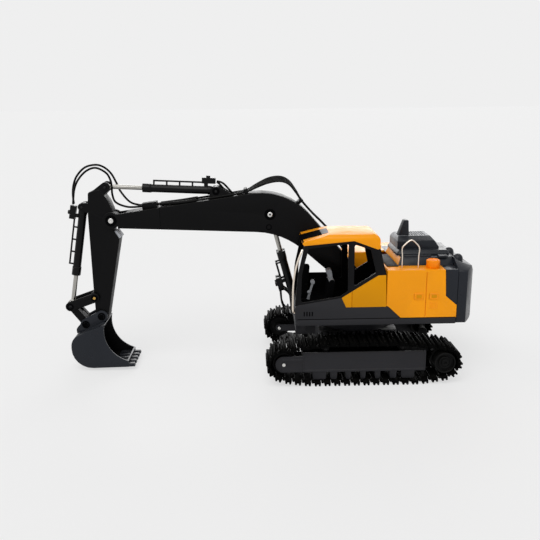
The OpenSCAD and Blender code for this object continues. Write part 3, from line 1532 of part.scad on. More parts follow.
chassis_frame();
slew_gear();
track_frames();
track_covers();
track_links(1);  // track_links_l
track_links(-1);  // track_links_r
track_pins();
wheel_axles();
final_drives();
sprocket(1);  // sprocket_l
sprocket(-1);  // sprocket_r
idler(1);  // idler_l
idler(-1);  // idler_r
carrier_roller(1, 1);  // carrier_roller_fl
carrier_roller(1, -1);  // carrier_roller_fr
carrier_roller(-1, 1);  // carrier_roller_rl
carrier_roller(-1, -1);  // carrier_roller_rr
house_deck();
boom_mount();
house_pins();
left_body();
right_body();
rear_corner_panels();
top_cover();
engine_hood();
hood_intake();
counterweight();
ballast();
cab_tub();
cab_frame();
cab_roof();
cab_side_panels();
cab_seat();
cab_controls();
grab_rails();
fuel_cap();
lid_knobs();
step_pad();
battery_pack();
receiver_board();
slew_motor();
slew_pinion();
boom_shell();
boom_fork();
boom_pins();
boom_hoses();
hose_clamps();
boom_barrels();
boom_rods();
stick();
stick_pins();
stick_bumper();
stick_hoses();
stick_barrel();
stick_rod();
bucket();
bucket_rockers();
bucket_link();
bucket_barrel();
bucket_rod();
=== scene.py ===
"""Looks of a remote-controlled tracked excavator, dressed over its fixed frame.

X points forward, Y to the machine's left and Z up. Sizes and places are written in millimetres and turned into
metres where a mesh is made. Every rigid piece is a softened copy of its solid, hoses and wires are swept tubes,
and small fittings are turned profiles or stacked plates.
"""
import json
import logging
import math
from dataclasses import dataclass, field
from enum import Enum
from typing import Callable, Sequence

import bmesh
import bpy
import numpy as np
from mathutils import Matrix, Vector


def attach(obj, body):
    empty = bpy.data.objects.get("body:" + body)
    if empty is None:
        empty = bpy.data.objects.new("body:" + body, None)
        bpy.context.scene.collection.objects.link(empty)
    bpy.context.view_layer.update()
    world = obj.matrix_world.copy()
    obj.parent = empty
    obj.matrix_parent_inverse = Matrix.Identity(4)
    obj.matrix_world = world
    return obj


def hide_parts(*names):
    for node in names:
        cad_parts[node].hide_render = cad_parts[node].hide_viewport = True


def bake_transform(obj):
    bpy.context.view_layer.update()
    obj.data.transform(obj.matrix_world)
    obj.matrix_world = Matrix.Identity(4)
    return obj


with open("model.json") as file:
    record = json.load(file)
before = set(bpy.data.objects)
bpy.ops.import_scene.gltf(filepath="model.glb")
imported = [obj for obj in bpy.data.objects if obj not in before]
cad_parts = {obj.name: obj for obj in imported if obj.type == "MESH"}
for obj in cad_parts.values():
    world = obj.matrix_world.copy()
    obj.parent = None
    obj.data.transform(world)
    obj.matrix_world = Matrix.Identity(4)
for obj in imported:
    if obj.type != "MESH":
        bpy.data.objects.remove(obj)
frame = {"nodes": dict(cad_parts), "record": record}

Array = np.ndarray
Pair = tuple[float, float]
Point = tuple[float, float, float]
Colour = tuple[int, int, int]
Profile = Sequence[Pair]
Socket = bpy.types.NodeSocket
Sockets = bpy.types.bpy_prop_collection

MM = 0.001
MERGE_DISTANCE = 1e-6
FLAT_ANGLE = math.radians(0.5)
SHARP_ANGLE = math.radians(28.0)
CURVE_STEPS = 20  # points worked out between two points of a route
CORNER_STEPS = 6  # points round each corner of a plate
LEAST_CORNER = 0.05  # corner radius, in millimetres, that no inset goes below
FACES = 0.5  # part of a face's normal from which it counts as facing that way
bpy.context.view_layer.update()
BODY_OF = {
    node: body for body, nodes in frame["record"]["behaviour"]["bodies"].items() for node in nodes
}
LOG = logging.getLogger("excavator")


def linear(colour: Colour) -> tuple[float, float, float, float]:
    """Turn a screen colour into what shader sockets take.

    Args:
        colour: Red, green and blue from 0 to 255.

    Returns:
        Linear red, green and blue from 0 to 1, and alpha.
    """
    c = np.asarray(colour, float) / 255.0
    low, high = c / 12.92, ((c + 0.055) / 1.055) ** 2.4
    return (*np.where(c <= 0.04045, low, high).tolist(), 1.0)


# Surfaces worked out as grids of points

class Facing(Enum):
    """Side of the machine that a fitting faces."""

    LEFT = (0.0, 1.0, 0.0)
    RIGHT = (0.0, -1.0, 0.0)
    UP = (0.0, 0.0, 1.0)

    def basis(self) -> tuple[Array, Array, Array]:
        """Directions of a fitting.

        Returns:
            Two directions across it, the level one first, and the direction that it faces.
        """
        face, level = np.array(self.value), np.array((1.0, 0.0, 0.0))
        return level, np.cross(face, level), face


SIDES = ((Facing.LEFT, 1.0), (Facing.RIGHT, -1.0))


def unit(vectors: Array) -> Array:
    """Vectors along the last axis, each divided by its length."""
    return vectors / np.linalg.norm(vectors, axis=-1, keepdims=True)


def eased(share: Array) -> Array:
    """A ramp s, held between 0 and 1 and softened at both ends: 3 s^2 - 2 s^3."""
    s = np.clip(share, 0.0, 1.0)
    return (3 - 2 * s) * s**2


def smooth_route(route: Sequence[Point], step: float) -> Array:
    """Evenly spaced points on a smooth curve through a route.

    Between route points b and c, with a before and d after them, the curve is
    (2b + (c - a)t + (2a - 5b + 4c - d)t^2 + (3b - a - 3c + d)t^3) / 2 for t from 0 to 1.

    Args:
        route: Points that the curve passes through.
        step: Distance between the points of the result.

    Returns:
        One point a row.
    """
    p = np.asarray(route, float)
    a, b = np.vstack([p[:1], p[:-2]]), p[:-1]
    c, d = p[1:], np.vstack([p[2:], p[-1:]])
    t = np.linspace(0.0, 1.0, CURVE_STEPS, endpoint=False)[:, None, None]
    square, cube = 2 * a - 5 * b + 4 * c - d, 3 * b - a - 3 * c + d
    fine = (2 * b + (c - a) * t + square * t**2 + cube * t**3) / 2
    fine = np.vstack([fine.transpose(1, 0, 2).reshape(-1, 3), p[-1:]])
    run = np.concatenate([[0.0], np.cumsum(np.linalg.norm(np.diff(fine, axis=0), axis=1))])
    even = np.linspace(0.0, run[-1], max(2, round(run[-1] / step) + 1))
    return np.stack([np.interp(even, run, fine[:, k]) for k in range(3)], axis=1)


def swept(path: Array, radius: float | Array, sides: int = 14) -> Array:
    """Grid of a round tube: each path point plus radius times (cos a, sin a) across the path.

    Args:
        path: Points of the middle line, which never runs straight along Y.
        radius: Radius of the tube, or one for each point.
        sides: Points round the tube.

    Returns:
        Grid of path points by sides.
    """
    along = unit(np.gradient(path, axis=0))
    across = unit(np.array((0.0, 1.0, 0.0)) - along * along[:, 1:2])
    over = np.cross(along, across)
    turn = np.linspace(0.0, 2 * np.pi, sides, endpoint=False)
    ring = np.cos(turn)[:, None] * across[:, None, :] + np.sin(turn)[:, None] * over[:, None, :]
    return path[:, None, :] + np.broadcast_to(radius, len(path))[:, None, None] * ring


def lathed(profile: Profile, centre: Point, facing: Facing, steps: int = 40) -> Array:
    """Grid of a profile turned about an axis: centre + height * axis + radius * (cos a, sin a).

    Args:
        profile: Radius and height of each ring, from the seat to the tip.
        centre: Point on the axis at height 0.
        facing: Direction of the axis.
        steps: Points round the axis.

    Returns:
        Grid of rings by steps.
    """
    across, over, axis = facing.basis()
    radius, height = np.asarray(profile, float).T
    turn = np.linspace(0.0, 2 * np.pi, steps, endpoint=False)
    ring = np.cos(turn)[:, None] * across + np.sin(turn)[:, None] * over
    return np.asarray(centre) + height[:, None, None] * axis + radius[:, None, None] * ring


@dataclass(frozen=True)
class Plate:
    """A rounded rectangle repeated up a profile of insets and heights, from the seat to the top."""

    size: Pair
    corner: float
    profile: Profile

    def grid(self, centre: Point, facing: Facing) -> Array:
        """Grid of the plate's rings.

        A ring's points are its corner centres, at half the size less the corner radius, plus the radius times
        (cos a, sin a). The inset shrinks both the size and the radius.

        Args:
            centre: Middle of the seat.
            facing: Direction in which the rings rise.

        Returns:
            Grid of rings by points.
        """
        level, other, axis = facing.basis()
        inset, height = (column[:, None, None] for column in np.asarray(self.profile, float).T)
        quarter = np.arange(4)[:, None]
        turn = (quarter + np.linspace(0.0, 1.0, CORNER_STEPS)) * np.pi / 2
        radius = np.maximum(self.corner - inset, LEAST_CORNER)
        sign_u = np.where((quarter == 0) | (quarter == 3), 1.0, -1.0)
        sign_v = np.where(quarter < 2, 1.0, -1.0)
        u = sign_u * (self.size[0] / 2 - inset - radius) + radius * np.cos(turn)
        v = sign_v * (self.size[1] / 2 - inset - radius) + radius * np.sin(turn)
        grid = u[..., None] * level + v[..., None] * other + (height + 0 * u)[..., None] * axis
        return np.asarray(centre) + grid.reshape(len(self.profile), -1, 3)


@dataclass(frozen=True)
class Head:
    """A domed pin head with a round socket in its top."""

    radius: float
    height: float
    socket: float
    steps: int = 40

    def grid(self, centre: Point, facing: Facing) -> Array:
        """Grid of the head, turned from the seat over the rim and into the socket.

        Args:
            centre: Middle of the seat.
            facing: Direction in which the head rises.

        Returns:
            Grid of rings by steps.
        """
        r, h, s = self.radius, self.height, self.socket
        rim = [(r, 0.0), (r, h * 0.45), (r * 0.93, h * 0.72), (r * 0.76, h * 0.92)]
        sunk = [(s * 1.15, h), (s, h * 0.95), (s * 0.9, h * 0.5), (s * 0.2, h * 0.42)]
        return lathed(rim + sunk, centre, facing, self.steps)


@dataclass(frozen=True)
class Ring:
    """A flat ring that stands on a face, with edges as soft as a share of its height."""

    inner: float
    outer: float
    height: float
    softness: float = 0.4
    steps: int = 40

    def grid(self, centre: Point, facing: Facing) -> Array:
        """Grid of the ring, turned from its outer seat over the top to its inner seat.

        Args:
            centre: Middle of the seat.
            facing: Direction in which the ring rises.

        Returns:
            Grid of rings by steps.
        """
        soft, top = self.height * self.softness, self.height
        outside = [(self.outer, -soft), (self.outer, top - soft), (self.outer - soft, top)]
        inside = [(self.inner + soft, top), (self.inner, top - soft), (self.inner, -soft)]
        return lathed(outside + inside, centre, facing, self.steps)


def mirrored(form: Plate | Head | Ring, places: Sequence[Point]) -> list[Array]:
    """Grids of a form at places where it faces left, and at their mirror places, where it faces right."""
    return [form.grid((x, side * y, z), facing) for x, y, z in places for facing, side in SIDES]


def quads(rows: int, columns: int) -> Array:
    """Faces between neighbouring rings of a grid whose columns close on themselves.

    Args:
        rows: Number of rings.
        columns: Points round each ring.

    Returns:
        Four point numbers a row.
    """
    i, j = np.meshgrid(np.arange(rows - 1), np.arange(columns), indexing="ij")
    k = (j + 1) % columns
    low, high = i * columns, (i + 1) * columns
    return np.stack([low + j, low + k, high + k, high + j], axis=-1).reshape(-1, 4)


def placed(name: str, mesh: bpy.types.Mesh) -> bpy.types.Object:
    """A new object at the origin, in the scene's collection.

    Args:
        name: Name of the object.
        mesh: Mesh that it holds.

    Returns:
        The object.
    """
    obj = bpy.data.objects.new(name, mesh)
    bpy.context.scene.collection.objects.link(obj)
    return obj


def surface_piece(name: str, grids: Sequence[Array]) -> bpy.types.Object:
    """A closed piece made of grids, each capped at its first and last ring.

    Args:
        name: Name of the piece.
        grids: Grids of points in millimetres, rings by points round each ring.

    Returns:
        The object, with its faces outwards and its edges sharp where they turn hard.
    """
    points, faces, first = [], [], 0
    for grid in grids:
        rows, columns = grid.shape[:2]
        ends = [np.arange(columns), np.arange(columns) + (rows - 1) * columns]
        faces += (quads(rows, columns) + first).tolist() + [(end + first).tolist() for end in ends]
        points.append(grid.reshape(-1, 3) * MM)
        first += rows * columns
    mesh = bpy.data.meshes.new(name)
    mesh.from_pydata(np.vstack(points).tolist(), [], faces)
    outwards(mesh)
    mesh.shade_smooth()
    mesh.set_sharp_from_angle(angle=SHARP_ANGLE)
    return placed(name, mesh)


def outwards(mesh: bpy.types.Mesh) -> None:
    """Turn a closed mesh's faces outwards.

    Args:
        mesh: Mesh to change.
    """
    work = bmesh.new()
    work.from_mesh(mesh)
    bmesh.ops.recalc_face_normals(work, faces=work.faces)
    work.to_mesh(mesh)
    work.free()


def softened(node: str, edge: float, segments: int) -> bpy.types.Object:
    """A copy of a solid, merged, with its flat faces joined and its sharp edges rounded.

    Args:
        node: Name of the solid.
        edge: Width of the rounding, in millimetres.
        segments: Faces across the rounding.

    Returns:
        The new object, at the origin.
    """
    name = node + "_skin"
    mesh = bpy.data.meshes.new(name)
    work = bmesh.new()
    work.from_mesh(frame["nodes"][node].data)
    bmesh.ops.remove_doubles(work, verts=work.verts, dist=MERGE_DISTANCE)
    bmesh.ops.dissolve_limit(work, angle_limit=FLAT_ANGLE, verts=work.verts, edges=work.edges)
    work.to_mesh(mesh)
    work.free()
    mesh.shade_smooth()
    obj = placed(name, mesh)
    rounding = obj.modifiers.new("soft_edges", "BEVEL")
    rounding.limit_method = "ANGLE"
    rounding.angle_limit = SHARP_ANGLE
    rounding.width = edge * MM
    rounding.segments = segments
    rounding.use_clamp_overlap = False
    rounding.harden_normals = True
    return obj


# Shader effects that several finishes share

class Effect(Enum):
    """A node group, built once and placed in each finish with its own values."""

    MOULDED_GRAIN = "moulded_grain"
    RUBBED_EDGES = "rubbed_edges"
    SETTLED_DUST = "settled_dust"
    DRAWN_METAL = "drawn_metal"


class NodeSheet:
    """A node tree with short calls that add and wire its nodes."""

    def __init__(self, tree: bpy.types.NodeTree) -> None:
        """Take hold of a tree."""
        self.tree = tree

    def add(self, kind: str, sockets: dict | None = None, **settings: object) -> bpy.types.Node:
        """Add a node.

        Args:
            kind: Name of the node type after ShaderNode.
            sockets: Input names with the value or the output socket that each takes.
            **settings: Properties of the node.

        Returns:
            The node.
        """
        node = self.tree.nodes.new("ShaderNode" + kind)
        for key, value in settings.items():
            setattr(node, key, value)
        for key, value in (sockets or {}).items():
            self.feed(node.inputs[key], value)
        return node

    def feed(self, socket: Socket, value: object) -> None:
        """Wire an output into an input, or set the input to a plain value.

        Args:
            socket: Input to feed.
            value: Output socket, or the value to set.
        """
        if isinstance(value, Socket):
            self.tree.links.new(value, socket)
        else:
            socket.default_value = value

    def noise(self, where: Socket, scale: object, detail: float) -> Socket:
        """Value of a noise texture at the given coordinates."""
        return self.add("TexNoise", {"Vector": where, "Scale": scale, "Detail": detail}).outputs["Fac"]

    def spread(self, value: Socket, span: Pair, result: tuple[object, object]) -> Socket:
        """Value mapped from a span to a result range, held at its ends.

        Args:
            value: Socket to map.
            span: Lowest and highest input.
            result: Output, as numbers or sockets, at each of them.

        Returns:
            The mapped value.
        """
        ends = {"From Min": span[0], "From Max": span[1], "To Min": result[0], "To Max": result[1]}
        return self.add("MapRange", {"Value": value, **ends}).outputs["Result"]

    def math(self, operation: str, a: object, b: object) -> Socket:
        """Result of arithmetic on two values."""
        return self.add("Math", {0: a, 1: b}, operation=operation).outputs["Value"]

    def mixed(self, factor: object, a: object, b: object) -> Socket:
        """Mix two colours.

        Args:
            factor: Share of the second colour.
            a: First colour.
            b: Second colour.

        Returns:
            The mixed colour.
        """
        node = self.add("Mix", data_type="RGBA")
        for key, value in (("Factor_Float", factor), ("A_Color", a), ("B_Color", b)):
            self.feed(next(s for s in node.inputs if s.identifier == key), value)
        return next(s for s in node.outputs if s.identifier == "Result_Color")

    def seen(self) -> Socket:
        """Tell looking from lighting.

        Returns:
            One for rays that look straight, in a mirror or through glass, and zero for all other light.
        """
        path = self.add("LightPath").outputs
        ray = self.math("MAXIMUM", path["Is Camera Ray"], path["Is Glossy Ray"])
        return self.math("MAXIMUM", ray, path["Is Transmission Ray"])


class EffectShop:
    """Builds the shared node groups and places them in materials."""

    TONE_SCALE = 22.0  # noise cells a metre, as in the next five
    SMUDGE_SCALE = 70.0
    EDGE_PATCH_SCALE = 190.0
    DUST_SCALE = 130.0
    STAIN_SCALE = 60.0
    MARK_SCALE = 1500.0
    NOISE_SPAN = (0.3, 0.7)  # values between which a noise mostly lies
    EDGE_LIKENESS = (0.98, 0.78)  # likeness of the flat and the rounded normal: untouched, full edge wear and painted highlight
    DUST_SLOPE = (0.2, 0.95)  # upward part of the normal: no dust, most dust
    DUST_DULLING = 0.4
    STAIN_TONE = (0.9, 1.05)

    SOCKETS = {
        Effect.MOULDED_GRAIN: (
            {"Vector": "Vector", "Color": "Color", "Mottle": "Float", "Roughness": "Float", "Smudge": "Float",
             "Grain Scale": "Float"},
            {"Color": "Color", "Roughness": "Float", "Height": "Float"},
        ),
        Effect.RUBBED_EDGES: (
            {"Vector": "Vector", "Color": "Color", "Rubbed Color": "Color", "Radius": "Float", "Amount": "Float"},
            {"Color": "Color"},
        ),
        Effect.SETTLED_DUST: (
            {"Vector": "Vector", "Color": "Color", "Dust Color": "Color", "Roughness": "Float", "Amount": "Float"},
            {"Color": "Color", "Roughness": "Float"},
        ),
        Effect.DRAWN_METAL: (
            {"Vector": "Vector", "Color": "Color", "Roughness": "Float", "Streak": "Float"},
            {"Color": "Color", "Roughness": "Float", "Height": "Float"},
        ),
    }

    @classmethod
    def group(cls, effect: Effect) -> bpy.types.NodeTree:
        """The node group of an effect, built on its first use.

        Args:
            effect: Effect to build.

        Returns:
            The group's tree.
        """
        made = bpy.data.node_groups.get(effect.value)
        if made is None:
            made = bpy.data.node_groups.new(effect.value, "ShaderNodeTree")
            for way, sockets in zip(("INPUT", "OUTPUT"), cls.SOCKETS[effect]):
                for name, kind in sockets.items():
                    made.interface.new_socket(name, in_out=way, socket_type="NodeSocket" + kind)
            given = made.nodes.new("NodeGroupInput").outputs
            result = made.nodes.new("NodeGroupOutput").inputs
            for name, socket in getattr(cls, effect.value)(NodeSheet(made), given).items():
                made.links.new(socket, result[name])
        return made

    @classmethod
    def place(cls, sheet: NodeSheet, effect: Effect, sockets: dict) -> Sockets:
        """Add an effect to a material.

        Args:
            sheet: The material's tree.
            effect: Effect to add.
            sockets: Values or sockets for its inputs.

        Returns:
            The outputs of the group.
        """
        node = sheet.tree.nodes.new("ShaderNodeGroup")
        node.node_tree = cls.group(effect)
        for key, value in sockets.items():
            sheet.feed(node.inputs[key], value)
        return node.outputs

    @classmethod
    def moulded_grain(cls, sheet: NodeSheet, given: Sockets) -> dict:
        """Slow drifts of tone, smudges in the gloss and the fine grain of a mould.

        Args:
            sheet: Tree of the group.
            given: Inputs of the group.

        Returns:
            The outputs: colour, roughness and grain height.
        """
        where = given["Vector"]
        down = sheet.math("SUBTRACT", 1.0, given["Mottle"])
        up = sheet.math("ADD", 1.0, given["Mottle"])
        tone = sheet.spread(sheet.noise(where, cls.TONE_SCALE, 3.0), cls.NOISE_SPAN, (down, up))
        colour = sheet.add("HueSaturation", {"Color": given["Color"], "Value": tone}).outputs["Color"]
        shift = sheet.spread(sheet.noise(where, cls.SMUDGE_SCALE, 6.0), (0.35, 0.65), (-1.0, 1.0))
        rough = sheet.math("ADD", given["Roughness"], sheet.math("MULTIPLY", shift, given["Smudge"]))
        return {"Color": colour, "Roughness": rough, "Height": sheet.noise(where, given["Grain Scale"], 2.0)}

    @classmethod
    def rubbed_edges(cls, sheet: NodeSheet, given: Sockets) -> dict:
        """Lighter edges, where the normal turns within a small radius, broken up by noise: partly wear and partly a
        painted highlight along the edges.

        Args:
            sheet: Tree of the group.
            given: Inputs of the group.

        Returns:
            The output: colour.
        """
        turned = sheet.add("Bevel", {"Radius": given["Radius"]}, samples=4).outputs["Normal"]
        straight = sheet.add("NewGeometry").outputs["Normal"]
        likeness = sheet.add("VectorMath", {0: turned, 1: straight}, operation="DOT_PRODUCT").outputs["Value"]
        edge = sheet.spread(likeness, cls.EDGE_LIKENESS, (0.0, given["Amount"]))
        patches = sheet.spread(sheet.noise(given["Vector"], cls.EDGE_PATCH_SCALE, 4.0), (0.38, 0.6), (0.15, 1.0))
        mask = sheet.math("MULTIPLY", edge, patches)
        return {"Color": sheet.mixed(mask, given["Color"], given["Rubbed Color"])}

    @classmethod
    def settled_dust(cls, sheet: NodeSheet, given: Sockets) -> dict:
        """Pale dust on faces that look up, in patches, which also dulls the gloss.

        Args:
            sheet: Tree of the group.
            given: Inputs of the group.

        Returns:
            The outputs: colour and roughness.
        """
        normal = sheet.add("TexCoord").outputs["Normal"]
        upward = sheet.add("SeparateXYZ", {"Vector": normal}).outputs["Z"]
        lying = sheet.spread(upward, cls.DUST_SLOPE, (0.0, given["Amount"]))
        patches = sheet.spread(sheet.noise(given["Vector"], cls.DUST_SCALE, 6.0), (0.35, 0.7), (0.1, 1.0))
        mask = sheet.math("MULTIPLY", lying, patches)
        rough = sheet.math("ADD", given["Roughness"], sheet.math("MULTIPLY", mask, cls.DUST_DULLING))
        return {"Color": sheet.mixed(mask, given["Color"], given["Dust Color"]), "Roughness": rough}

    @classmethod
    def drawn_metal(cls, sheet: NodeSheet, given: Sockets) -> dict:
        """Fine polishing marks and slight stains on bare or plated metal.

        Args:
            sheet: Tree of the group.
            given: Inputs of the group.

        Returns:
            The outputs: colour, roughness and the height of the marks.
        """
        where = given["Vector"]
        stain = sheet.spread(sheet.noise(where, cls.STAIN_SCALE, 4.0), cls.NOISE_SPAN, cls.STAIN_TONE)
        colour = sheet.add("HueSaturation", {"Color": given["Color"], "Value": stain}).outputs["Color"]
        marks = sheet.noise(where, cls.MARK_SCALE, 2.0)
        less = sheet.math("MULTIPLY", given["Streak"], -1.0)
        shift = sheet.spread(marks, cls.NOISE_SPAN, (less, given["Streak"]))
        return {"Color": colour, "Roughness": sheet.math("ADD", given["Roughness"], shift), "Height": marks}


# Finishes

def new_material(name: str) -> tuple[NodeSheet, bpy.types.Node, Socket]:
    """An empty material.

    Args:
        name: Name of the material.

    Returns:
        Its tree, its Principled shader and its object coordinates.
    """
    material = bpy.data.materials.new(name)
    material.use_nodes = True
    sheet = NodeSheet(material.node_tree)
    shader = next(n for n in sheet.tree.nodes if n.type == "BSDF_PRINCIPLED")
    return sheet, shader, sheet.add("TexCoord").outputs["Object"]


@dataclass(frozen=True)
class Plastic:
    """Moulded plastic: mottled colour, smudged gloss, fine grain, edges lightened by wear and a painted highlight,
    and a little dust.
    """

    slot: str
    colour: Colour
    roughness: float = 0.42
    specular: float = 0.5
    mottle: float = 0.05
    smudge: float = 0.06
    grain_scale: float = 2200.0
    grain_depth: float = 0.03
    edge_wear_and_highlight: Colour = (150, 150, 152)
    edge_radius: float = 0.5
    wear_and_highlight_amount: float = 0.25
    dust: float = 0.03
    dust_colour: Colour = (168, 162, 150)
    ior: float = 1.45
    bump: float = 0.6

    def material(self, name: str) -> bpy.types.Material:
        """The finish as a node material.

        Args:
            name: Name of the material.

        Returns:
            The new material.
        """
        sheet, shader, where = new_material(name)
        grain = EffectShop.place(sheet, Effect.MOULDED_GRAIN, {
            "Vector": where, "Color": linear(self.colour), "Mottle": self.mottle, "Roughness": self.roughness,
            "Smudge": self.smudge, "Grain Scale": self.grain_scale,
        })
        edge_wear_and_highlight = EffectShop.place(sheet, Effect.RUBBED_EDGES, {
            "Vector": where, "Color": grain["Color"], "Rubbed Color": linear(self.edge_wear_and_highlight),
            "Radius": self.edge_radius * MM, "Amount": self.wear_and_highlight_amount,
        })
        dusty = EffectShop.place(sheet, Effect.SETTLED_DUST, {
            "Vector": where, "Color": edge_wear_and_highlight["Color"], "Dust Color": linear(self.dust_colour),
            "Roughness": grain["Roughness"], "Amount": self.dust,
        })
        relief = {"Height": grain["Height"], "Strength": self.bump, "Distance": self.grain_depth * MM}
        for socket, value in (
            ("Base Color", dusty["Color"]), ("Roughness", dusty["Roughness"]), ("Specular IOR Level", self.specular),
            ("IOR", self.ior), ("Normal", sheet.add("Bump", relief).outputs["Normal"]),
        ):
            sheet.feed(shader.inputs[socket], value)
        return bpy.data.materials[name]


@dataclass(frozen=True)
class Metal:
    """Bare or plated metal with fine polishing marks."""

    slot: str
    colour: Colour
    roughness: float = 0.22
    streak: float = 0.06
    mark_depth: float = 0.004
    bump: float = 0.5

    def material(self, name: str) -> bpy.types.Material:
        """The finish as a node material.

        Args:
            name: Name of the material.

        Returns:
            The new material.
        """
        sheet, shader, where = new_material(name)
        drawn = EffectShop.place(sheet, Effect.DRAWN_METAL, {
            "Vector": where, "Color": linear(self.colour), "Roughness": self.roughness, "Streak": self.streak,
        })
        relief = {"Height": drawn["Height"], "Strength": self.bump, "Distance": self.mark_depth * MM}
        for socket, value in (
            ("Base Color", drawn["Color"]), ("Roughness", drawn["Roughness"]), ("Metallic", 1.0),
            ("Normal", sheet.add("Bump", relief).outputs["Normal"]),
        ):
            sheet.feed(shader.inputs[socket], value)
        return bpy.data.materials[name]


class Finish(Enum):
    """Every finish on the machine."""

    AMBER = Plastic("body_amber", (247, 156, 4), 0.34, 0.22, 0.025, 0.05, edge_wear_and_highlight=(255, 190, 90), wear_and_highlight_amount=0.3)
    MUSTARD = Plastic("panel_mustard", (214, 142, 3), 0.38, 0.12, 0.03, edge_wear_and_highlight=(236, 178, 60), wear_and_highlight_amount=0.2)
    ORANGE = Plastic("cap_orange", (250, 140, 4), 0.34, 0.2, 0.03, edge_wear_and_highlight=(255, 170, 80))
    SLATE = Plastic("body_slate", (30, 33, 39), 0.32, 0.22, edge_wear_and_highlight=(140, 146, 156), wear_and_highlight_amount=0.22)
    FRAME_GREY = Plastic("frame_grey", (39, 39, 42), 0.5, 0.18, edge_wear_and_highlight=(112, 112, 116), dust=0.06)
    # Its strong pale edges are partly wear and partly a painted highlight along the arm's edges.
    ARM_BLACK = Plastic("arm_black", (10, 10, 11), 0.44, 0.1, edge_wear_and_highlight=(96, 96, 100), edge_radius=0.7, wear_and_highlight_amount=0.5)
    BARREL_BLACK = Plastic("arm_black", (8, 8, 9), 0.28, 0.16, edge_wear_and_highlight=(96, 96, 100))
    CAB_BLACK = Plastic("cab_black", (13, 13, 15), 0.45, 0.12, edge_wear_and_highlight=(92, 92, 98), wear_and_highlight_amount=0.2)
    TRACK_BLACK = Plastic(
        "track_black", (7, 7, 7), 0.42, 0.06, grain_scale=1400.0, edge_wear_and_highlight=(72, 71, 70), wear_and_highlight_amount=0.25, dust=0.01,
        ior=1.15,
    )
    WHEEL_BLACK = Plastic("wheel_black", (9, 9, 9), 0.45, 0.3, edge_wear_and_highlight=(80, 80, 82), dust=0.02, ior=1.25)
    RUBBER = Plastic("hose_black", (9, 9, 9), 0.5, 0.1, 0.08, 0.08, 3200.0, wear_and_highlight_amount=0.0, dust=0.02)
    BUMPER_GREY = Plastic("bumper_grey", (172, 175, 180), 0.6, 0.3, edge_wear_and_highlight=(200, 200, 202))
    SEAT_GREY = Plastic("cab_black", (120, 122, 126), 0.6, 0.3, edge_wear_and_highlight=(160, 160, 162))
    # Pale grey painted on the slate hood: a painted highlight on its front and a painted reflection on the tops of
    # its grille slats.
    LOUVRE_GREY = Plastic("body_slate", (118, 120, 124), 0.45, 0.3, edge_wear_and_highlight=(170, 172, 176))
    BLACKENED = Plastic("pin_steel", (12, 12, 13), 0.4, 0.25, edge_wear_and_highlight=(96, 96, 98))
    # A dead black with almost no reflection. It is the own colour of dark parts such as rings, slots, seams and the
    # seat, and it is painted shade on the track frames' tops, on the plates in the gaps by the sprockets and on the
    # inner faces of the cab tub and its far wall.
    DARK_PIT = Plastic("cab_black", (8, 8, 9), 0.7, 0.1, wear_and_highlight_amount=0.0, dust=0.0, ior=1.08)
    BATTERY_BLUE = Plastic("battery_blue", (30, 70, 170), 0.35, 0.5, edge_wear_and_highlight=(120, 150, 220))
    BOARD_GREEN = Plastic("board_green", (12, 84, 44), 0.4, 0.5, edge_wear_and_highlight=(90, 150, 110))
    CHROME = Metal("rod_chrome", (165, 163, 158), 0.2)
    STEEL = Metal("pin_steel", (214, 213, 210), 0.24)
    WIRE = Metal("pin_steel", (232, 220, 206), 0.3)
    BRASS = Metal("pin_steel", (206, 166, 92), 0.28)
    IRON = Metal("ballast_iron", (96, 94, 92), 0.5, 0.1)

    def material(self) -> bpy.types.Material:
        """The finish's material, made on its first use."""
        name = "finish_" + self.name.lower()
        return bpy.data.materials.get(name) or self.value.material(name)


# Sub-assemblies

